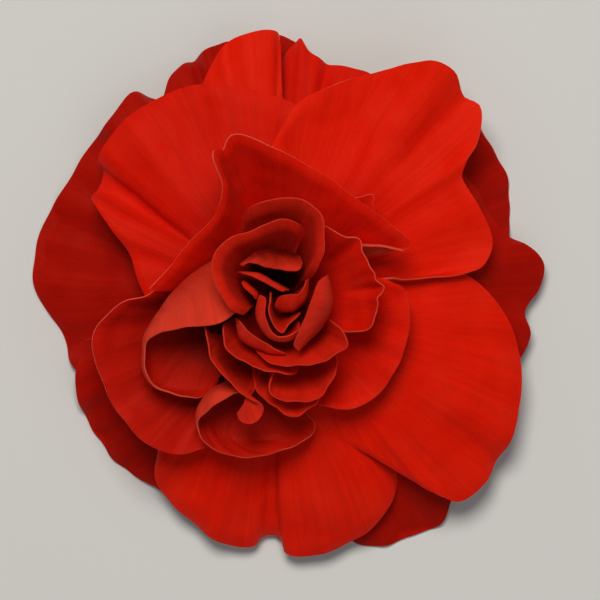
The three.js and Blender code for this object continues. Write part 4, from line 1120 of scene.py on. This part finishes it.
class SheetBuilder:
    """Turns rows of points into a closed thin mesh with its two faces and its rim."""

    def grid(self, name: str, points: np.ndarray) -> bpy.types.Object:
        """Adds a grid and sets its vertices on the sheet.

        Args:
            name: Name of the piece.
            points: Rows of points in the flower's own frame, in mm.

        Returns:
            The new piece, not yet thickened.
        """
        rows, columns = points.shape[:2]
        choose_none()
        bpy.ops.mesh.primitive_grid_add(x_subdivisions=columns - 1, y_subdivisions=rows - 1, size=2.0)
        piece = bpy.context.active_object
        piece.name = piece.data.name = name
        placed = points + SHIFT
        placed[..., 2] = np.maximum(placed[..., 2], SHEET_REST)
        placed *= MM
        piece.data.vertices.foreach_set("co", placed.reshape(-1).astype(np.float32))
        piece.data.update()
        return piece

    def flow_map(self, piece: bpy.types.Object, points: np.ndarray) -> None:
        """Gives the piece the UV map that its veins follow."""
        rows, columns = points.shape[:2]
        width = np.linalg.norm(np.diff(points[-1], axis=0), axis=1).sum() / FLOW_UNIT
        across = np.tile(np.linspace(0, width, columns), rows)
        lengths = np.repeat(row_shares(rows - 1), columns)
        layer = new_flow_layer(piece)
        corner = np.empty(len(piece.data.loops), int)
        piece.data.loops.foreach_get("vertex_index", corner)
        values = np.stack([across[corner], lengths[corner]], axis=1)
        layer.data.foreach_set("uv", values.reshape(-1).astype(np.float32))

    def thicken(self, piece: bpy.types.Object, rows: int, columns: int, thickness: float) -> None:
        """Gives the sheet its thickness, thinner towards the margin.

        Args:
            piece: The flat piece.
            rows: Rows of vertices.
            columns: Columns of vertices.
            thickness: Full thickness in mm.
        """
        group = piece.vertex_groups.new(name=RIM_GROUP)
        shares = row_shares(rows - 1)
        for row in range(rows):
            past = max(0.0, (shares[row] - THINNING_START) / (1 - THINNING_START))
            weight = 1 - (1 - MARGIN_SHARE) * past**2
            group.add(list(range(row * columns, (row + 1) * columns)), weight, "REPLACE")
        wall = piece.modifiers.new("wall", "SOLIDIFY")
        wall.thickness = thickness * MM
        wall.offset = 0.0
        wall.use_even_offset = False
        wall.vertex_group = RIM_GROUP
        wall.material_offset = 1
        # The rim takes the third material: on the petals a rim of painted highlight.
        wall.material_offset_rim = 2
        apply_all(piece)
        piece.vertex_groups.clear()

    def face_up(self, piece: bpy.types.Object) -> None:
        """Turns the sheet so that the petal's face, not its reverse, looks up at its middle."""
        polygons = piece.data.polygons
        if sum(polygon.normal.z * polygon.area for polygon in polygons) < 0:
            piece.data.flip_normals()

    def build(
        self, name: str, points: np.ndarray, finishes: Sequence[TissueFinish], thickness: float
    ) -> bpy.types.Object:
        """Makes the whole piece.

        Args:
            name: Name of the piece.
            points: Rows of points, from claw to margin.
            finishes: Finish of the face, of the reverse and of the rim.
            thickness: Thickness in mm.

        Returns:
            The finished piece.
        """
        piece = self.grid(name, points)
        self.flow_map(piece, points)
        self.face_up(piece)
        for finish in finishes:
            piece.data.materials.append(finish.material())
        self.thicken(piece, points.shape[0], points.shape[1], thickness)
        choose_only(piece)
        bpy.ops.object.shade_smooth_by_angle(angle=SMOOTH_ANGLE)
        return piece


BUILDER = SheetBuilder()


def settle(piece: bpy.types.Object, node: str) -> None:
    """Ties a finished piece to its node by hiding the imported part, parents it to the root body, and
    reports it.
    """
    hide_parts(node)
    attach(piece, "root")
    log.info("%s: %d faces", piece.name, len(piece.data.polygons))


@dataclass
class PetalWhorl:
    """One group of petals, each a piece of its own.

    Attributes:
        title: What the group is called.
        petals: Its petals.
        slot: Name of a material slot; not used.
    """

    title: str
    petals: tuple[Petal, ...]
    slot: str = "petal"

    def build(self) -> None:
        """Makes every petal of the group."""
        for petal in self.petals:
            finishes = [sides[petal.tone] for sides in (FACE_FINISHES, REVERSE_FINISHES, RIM_HIGHLIGHTS_BY_TONE)]
            piece = BUILDER.build(petal.name + "_tissue", petal.sheet(), finishes, petal.thickness)
            settle(piece, petal.name)
        log.info("%s: %d petals", self.title, len(self.petals))


@dataclass
class StemSide:
    """What lies under the petals: stalk, sepals, spur and the knob that carries the petals."""

    sepal_thickness: float = 0.32
    stalk_radius: float = 0.7
    spur_radii: tuple[float, ...] = (0.8, 0.66, 0.5, 0.38, 0.3)
    knob_radii: tuple[float, ...] = (1.75, 1.6, 1.3, 0.8, 0.4)
    knob_heights: tuple[float, ...] = (RECEPTACLE_LOW, 7.5, 12.0)
    sides: int = 20
    steps: int = 90

    def build(self) -> None:
        """Makes each piece of the stem side."""
        for petal in SIDE_SEPALS:
            finishes = (SEPAL_FINISH, SEPAL_FINISH, SEPAL_FINISH)
            piece = BUILDER.build(petal.name + "_tissue", petal.sheet(), finishes, self.sepal_thickness)
            settle(piece, petal.name)
        self.build_spur()
        self.build_stalk()
        self.build_receptacle()

    def tube(
        self, name: str, route: Sequence[Point], radii: Sequence[float], finish: TissueFinish
    ) -> bpy.types.Object:
        """Sweeps a round section along a route.

        Args:
            name: Name of the piece.
            route: Points of the route, in mm.
            radii: Radii along it, evenly spread.
            finish: Its finish.

        Returns:
            A closed tube with rounded ends.
        """
        choose_none()
        bpy.ops.mesh.primitive_cylinder_add(vertices=self.sides, end_fill_type="NOTHING")
        piece = bpy.context.active_object
        piece.name = piece.data.name = name
        bpy.ops.object.mode_set(mode="EDIT")
        bpy.ops.mesh.select_all(action="SELECT")
        bpy.ops.mesh.delete(type="VERT")
        bpy.ops.object.mode_set(mode="OBJECT")
        points, faces, flow = self.tube_mesh(route, radii)
        piece.data.from_pydata(points, [], faces)
        piece.data.update()
        return self.dress_tube(piece, flow, finish)

    def tube_mesh(self, route: Sequence[Point], radii: Sequence[float]) -> tuple[list, list, list]:
        """Works out a tube's vertices, faces and flow coordinates."""
        curve = Curve(route)
        shares = np.linspace(0, 1, self.steps + 1)
        middle = curve.at(curve.shares_at(shares))
        heading = np.gradient(middle, axis=0)
        heading /= np.linalg.norm(heading, axis=1)[:, None]
        size = along(radii, shares)
        ends = np.minimum(shares, 1 - shares) * np.linalg.norm(np.diff(middle, axis=0), axis=1).sum()
        size = size * np.sqrt(1 - np.clip(1 - ends / size, 0, 0.97) ** 2)
        points, flow = [], []
        side = np.cross(heading[0], (0.3, 0.2, 1.0))
        for k, (spot, way) in enumerate(zip(middle, heading)):
            side = side - way * (side @ way)
            side /= np.linalg.norm(side)
            other = np.cross(way, side)
            for s in range(self.sides):
                angle = 2 * math.pi * s / self.sides
                place = spot + size[k] * (side * math.cos(angle) + other * math.sin(angle))
                place = place + SHIFT
                place[2] = max(place[2], TUBE_REST)
                points.append(tuple(place * MM))
                flow.append((s / self.sides, shares[k]))
        faces = [
            (k * self.sides + s, k * self.sides + (s + 1) % self.sides,
             (k + 1) * self.sides + (s + 1) % self.sides, (k + 1) * self.sides + s)
            for k in range(self.steps) for s in range(self.sides)
        ]
        faces.append(tuple(range(self.sides - 1, -1, -1)))
        faces.append(tuple(self.steps * self.sides + s for s in range(self.sides)))
        return points, faces, flow

    def dress_tube(self, piece: bpy.types.Object, flow: list, finish: TissueFinish) -> bpy.types.Object:
        """Gives a tube its flow map, finish and smooth shading."""
        layer = new_flow_layer(piece)
        for loop in piece.data.loops:
            layer.data[loop.index].uv = flow[loop.vertex_index]
        piece.data.materials.append(finish.material())
        choose_only(piece)
        bpy.ops.object.mode_set(mode="EDIT")
        bpy.ops.mesh.select_all(action="SELECT")
        bpy.ops.mesh.normals_make_consistent(inside=False)
        bpy.ops.object.mode_set(mode="OBJECT")
        bpy.ops.object.shade_smooth_by_angle(angle=SMOOTH_ANGLE)
        return piece

    def build_spur(self) -> None:
        """Makes the lower sepal and its spur, joined in one piece."""
        finishes = (SPUR_FINISH, SPUR_FINISH, SPUR_FINISH)
        boat = BUILDER.build("spur_sepal_tissue", SPUR_SEPAL.sheet(), finishes, self.sepal_thickness)
        spur = self.tube("spur_tissue", SPUR_ROUTE, self.spur_radii, SPUR_FINISH)
        choose_none()
        spur.select_set(True)
        boat.select_set(True)
        bpy.context.view_layer.objects.active = boat
        bpy.ops.object.join()
        settle(boat, "spur_sepal")

    def build_stalk(self) -> None:
        """Makes the stalk the blossom was picked by."""
        radii = (self.stalk_radius * 1.05, self.stalk_radius, self.stalk_radius, self.stalk_radius * 0.95)
        stalk = self.tube("pedicel_tissue", PEDICEL_ROUTE, radii, STEM_FINISH)
        settle(stalk, "pedicel")

    def build_receptacle(self) -> None:
        """Makes the knob on the axis that carries the petals' claws."""
        route = tuple((*AXIS, height) for height in self.knob_heights)
        knob = self.tube("receptacle_tissue", route, self.knob_radii, KNOB_FINISH)
        settle(knob, "receptacle")


WARM_LIGHT = (1.0, 0.965, 0.92)
COOL_LIGHT = (0.93, 0.96, 1.0)
PAPER = (0.72, 0.71, 0.68)


@dataclass
class Studio:
    """Plain floor, soft light and the camera that looks straight down on the blossom."""

    floor_size: float = 1.6
    frame_width: float = 56.6
    frame_middle: tuple[float, float] = (1.04, -0.66)
    aim_height: float = 9.0
    lens: float = 640.0
    sensor: float = 36.0
    key_place: Point = (-0.06, 0.3, 0.66)
    key_size: float = 0.34
    key_energy: float = 3.6
    fill_place: Point = (0.25, -0.3, 0.6)
    fill_size: float = 0.6
    fill_energy: float = 0.5
    world_strength: float = 0.16

    def build(self) -> None:
        """Sets up the floor, the lights, the world and the camera."""
        self.build_floor()
        self.add_light("key", self.key_place, self.key_size, self.key_energy, WARM_LIGHT)
        self.add_light("fill", self.fill_place, self.fill_size, self.fill_energy, COOL_LIGHT)
        world = bpy.data.worlds.new("soft_room")
        world.use_nodes = True
        background = world.node_tree.nodes["Background"]
        background.inputs["Color"].default_value = (*COOL_LIGHT, 1.0)
        background.inputs["Strength"].default_value = self.world_strength
        bpy.context.scene.world = world
        bpy.context.scene.view_settings.view_transform = "Standard"
        self.build_camera()

    def build_floor(self) -> None:
        """Lays the plain pale floor."""
        choose_none()
        bpy.ops.mesh.primitive_plane_add(size=self.floor_size)
        floor = bpy.context.active_object
        floor.name = "floor"
        paper = bpy.data.materials.new("pale_paper")
        paper.use_nodes = True
        shader = paper.node_tree.nodes["Principled BSDF"]
        shader.inputs["Base Color"].default_value = (*PAPER, 1.0)
        shader.inputs["Roughness"].default_value = 0.85
        floor.data.materials.append(paper)

    def add_light(self, name: str, place: Point, size: float, energy: float, colour: Point) -> None:
        """Adds one large soft light aimed at the blossom.

        Args:
            name: Name of the light.
            place: Where it hangs, in metres.
            size: Width of its face, in metres.
            energy: Power in watts.
            colour: Its colour.
        """
        choose_none()
        bpy.ops.object.light_add(type="AREA", location=place)
        light = bpy.context.active_object
        light.name = name
        light.data.shape = "DISK"
        light.data.size = size
        light.data.energy = energy
        light.data.color = colour
        aim = Vector((0, 0, self.aim_height * MM)) - Vector(place)
        light.rotation_euler = aim.to_track_quat("-Z", "Y").to_euler()

    def build_camera(self) -> None:
        """Hangs the camera straight above the blossom, the top of the picture towards +Y."""
        choose_none()
        bpy.ops.object.camera_add()
        camera = bpy.context.active_object
        camera.data.lens = self.lens
        camera.data.sensor_width = self.sensor
        distance = self.frame_width * MM * self.lens / self.sensor
        camera.location = (
            (self.frame_middle[0] + SHIFT[0]) * MM, (self.frame_middle[1] + SHIFT[1]) * MM,
            self.aim_height * MM + distance)
        camera.rotation_euler = (0, 0, 0)
        camera.data.clip_start, camera.data.clip_end = 0.01, 10
        bpy.context.scene.camera = camera


WHORLS = (
    PetalWhorl("outer ring", OUTER_RING),
    PetalWhorl("face petals", FACE_PETALS),
    PetalWhorl("cup petals", CUP_PETALS),
    PetalWhorl("folded petals", FOLDED_PETALS),
    PetalWhorl("heart petals", HEART_PETALS),
)


def main() -> None:
    """Builds the blossom, whorl by whorl, and its studio."""
    for whorl in WHORLS:
        whorl.build()
    StemSide().build()
    Studio().build()


if __name__ == "__main__":
    main()
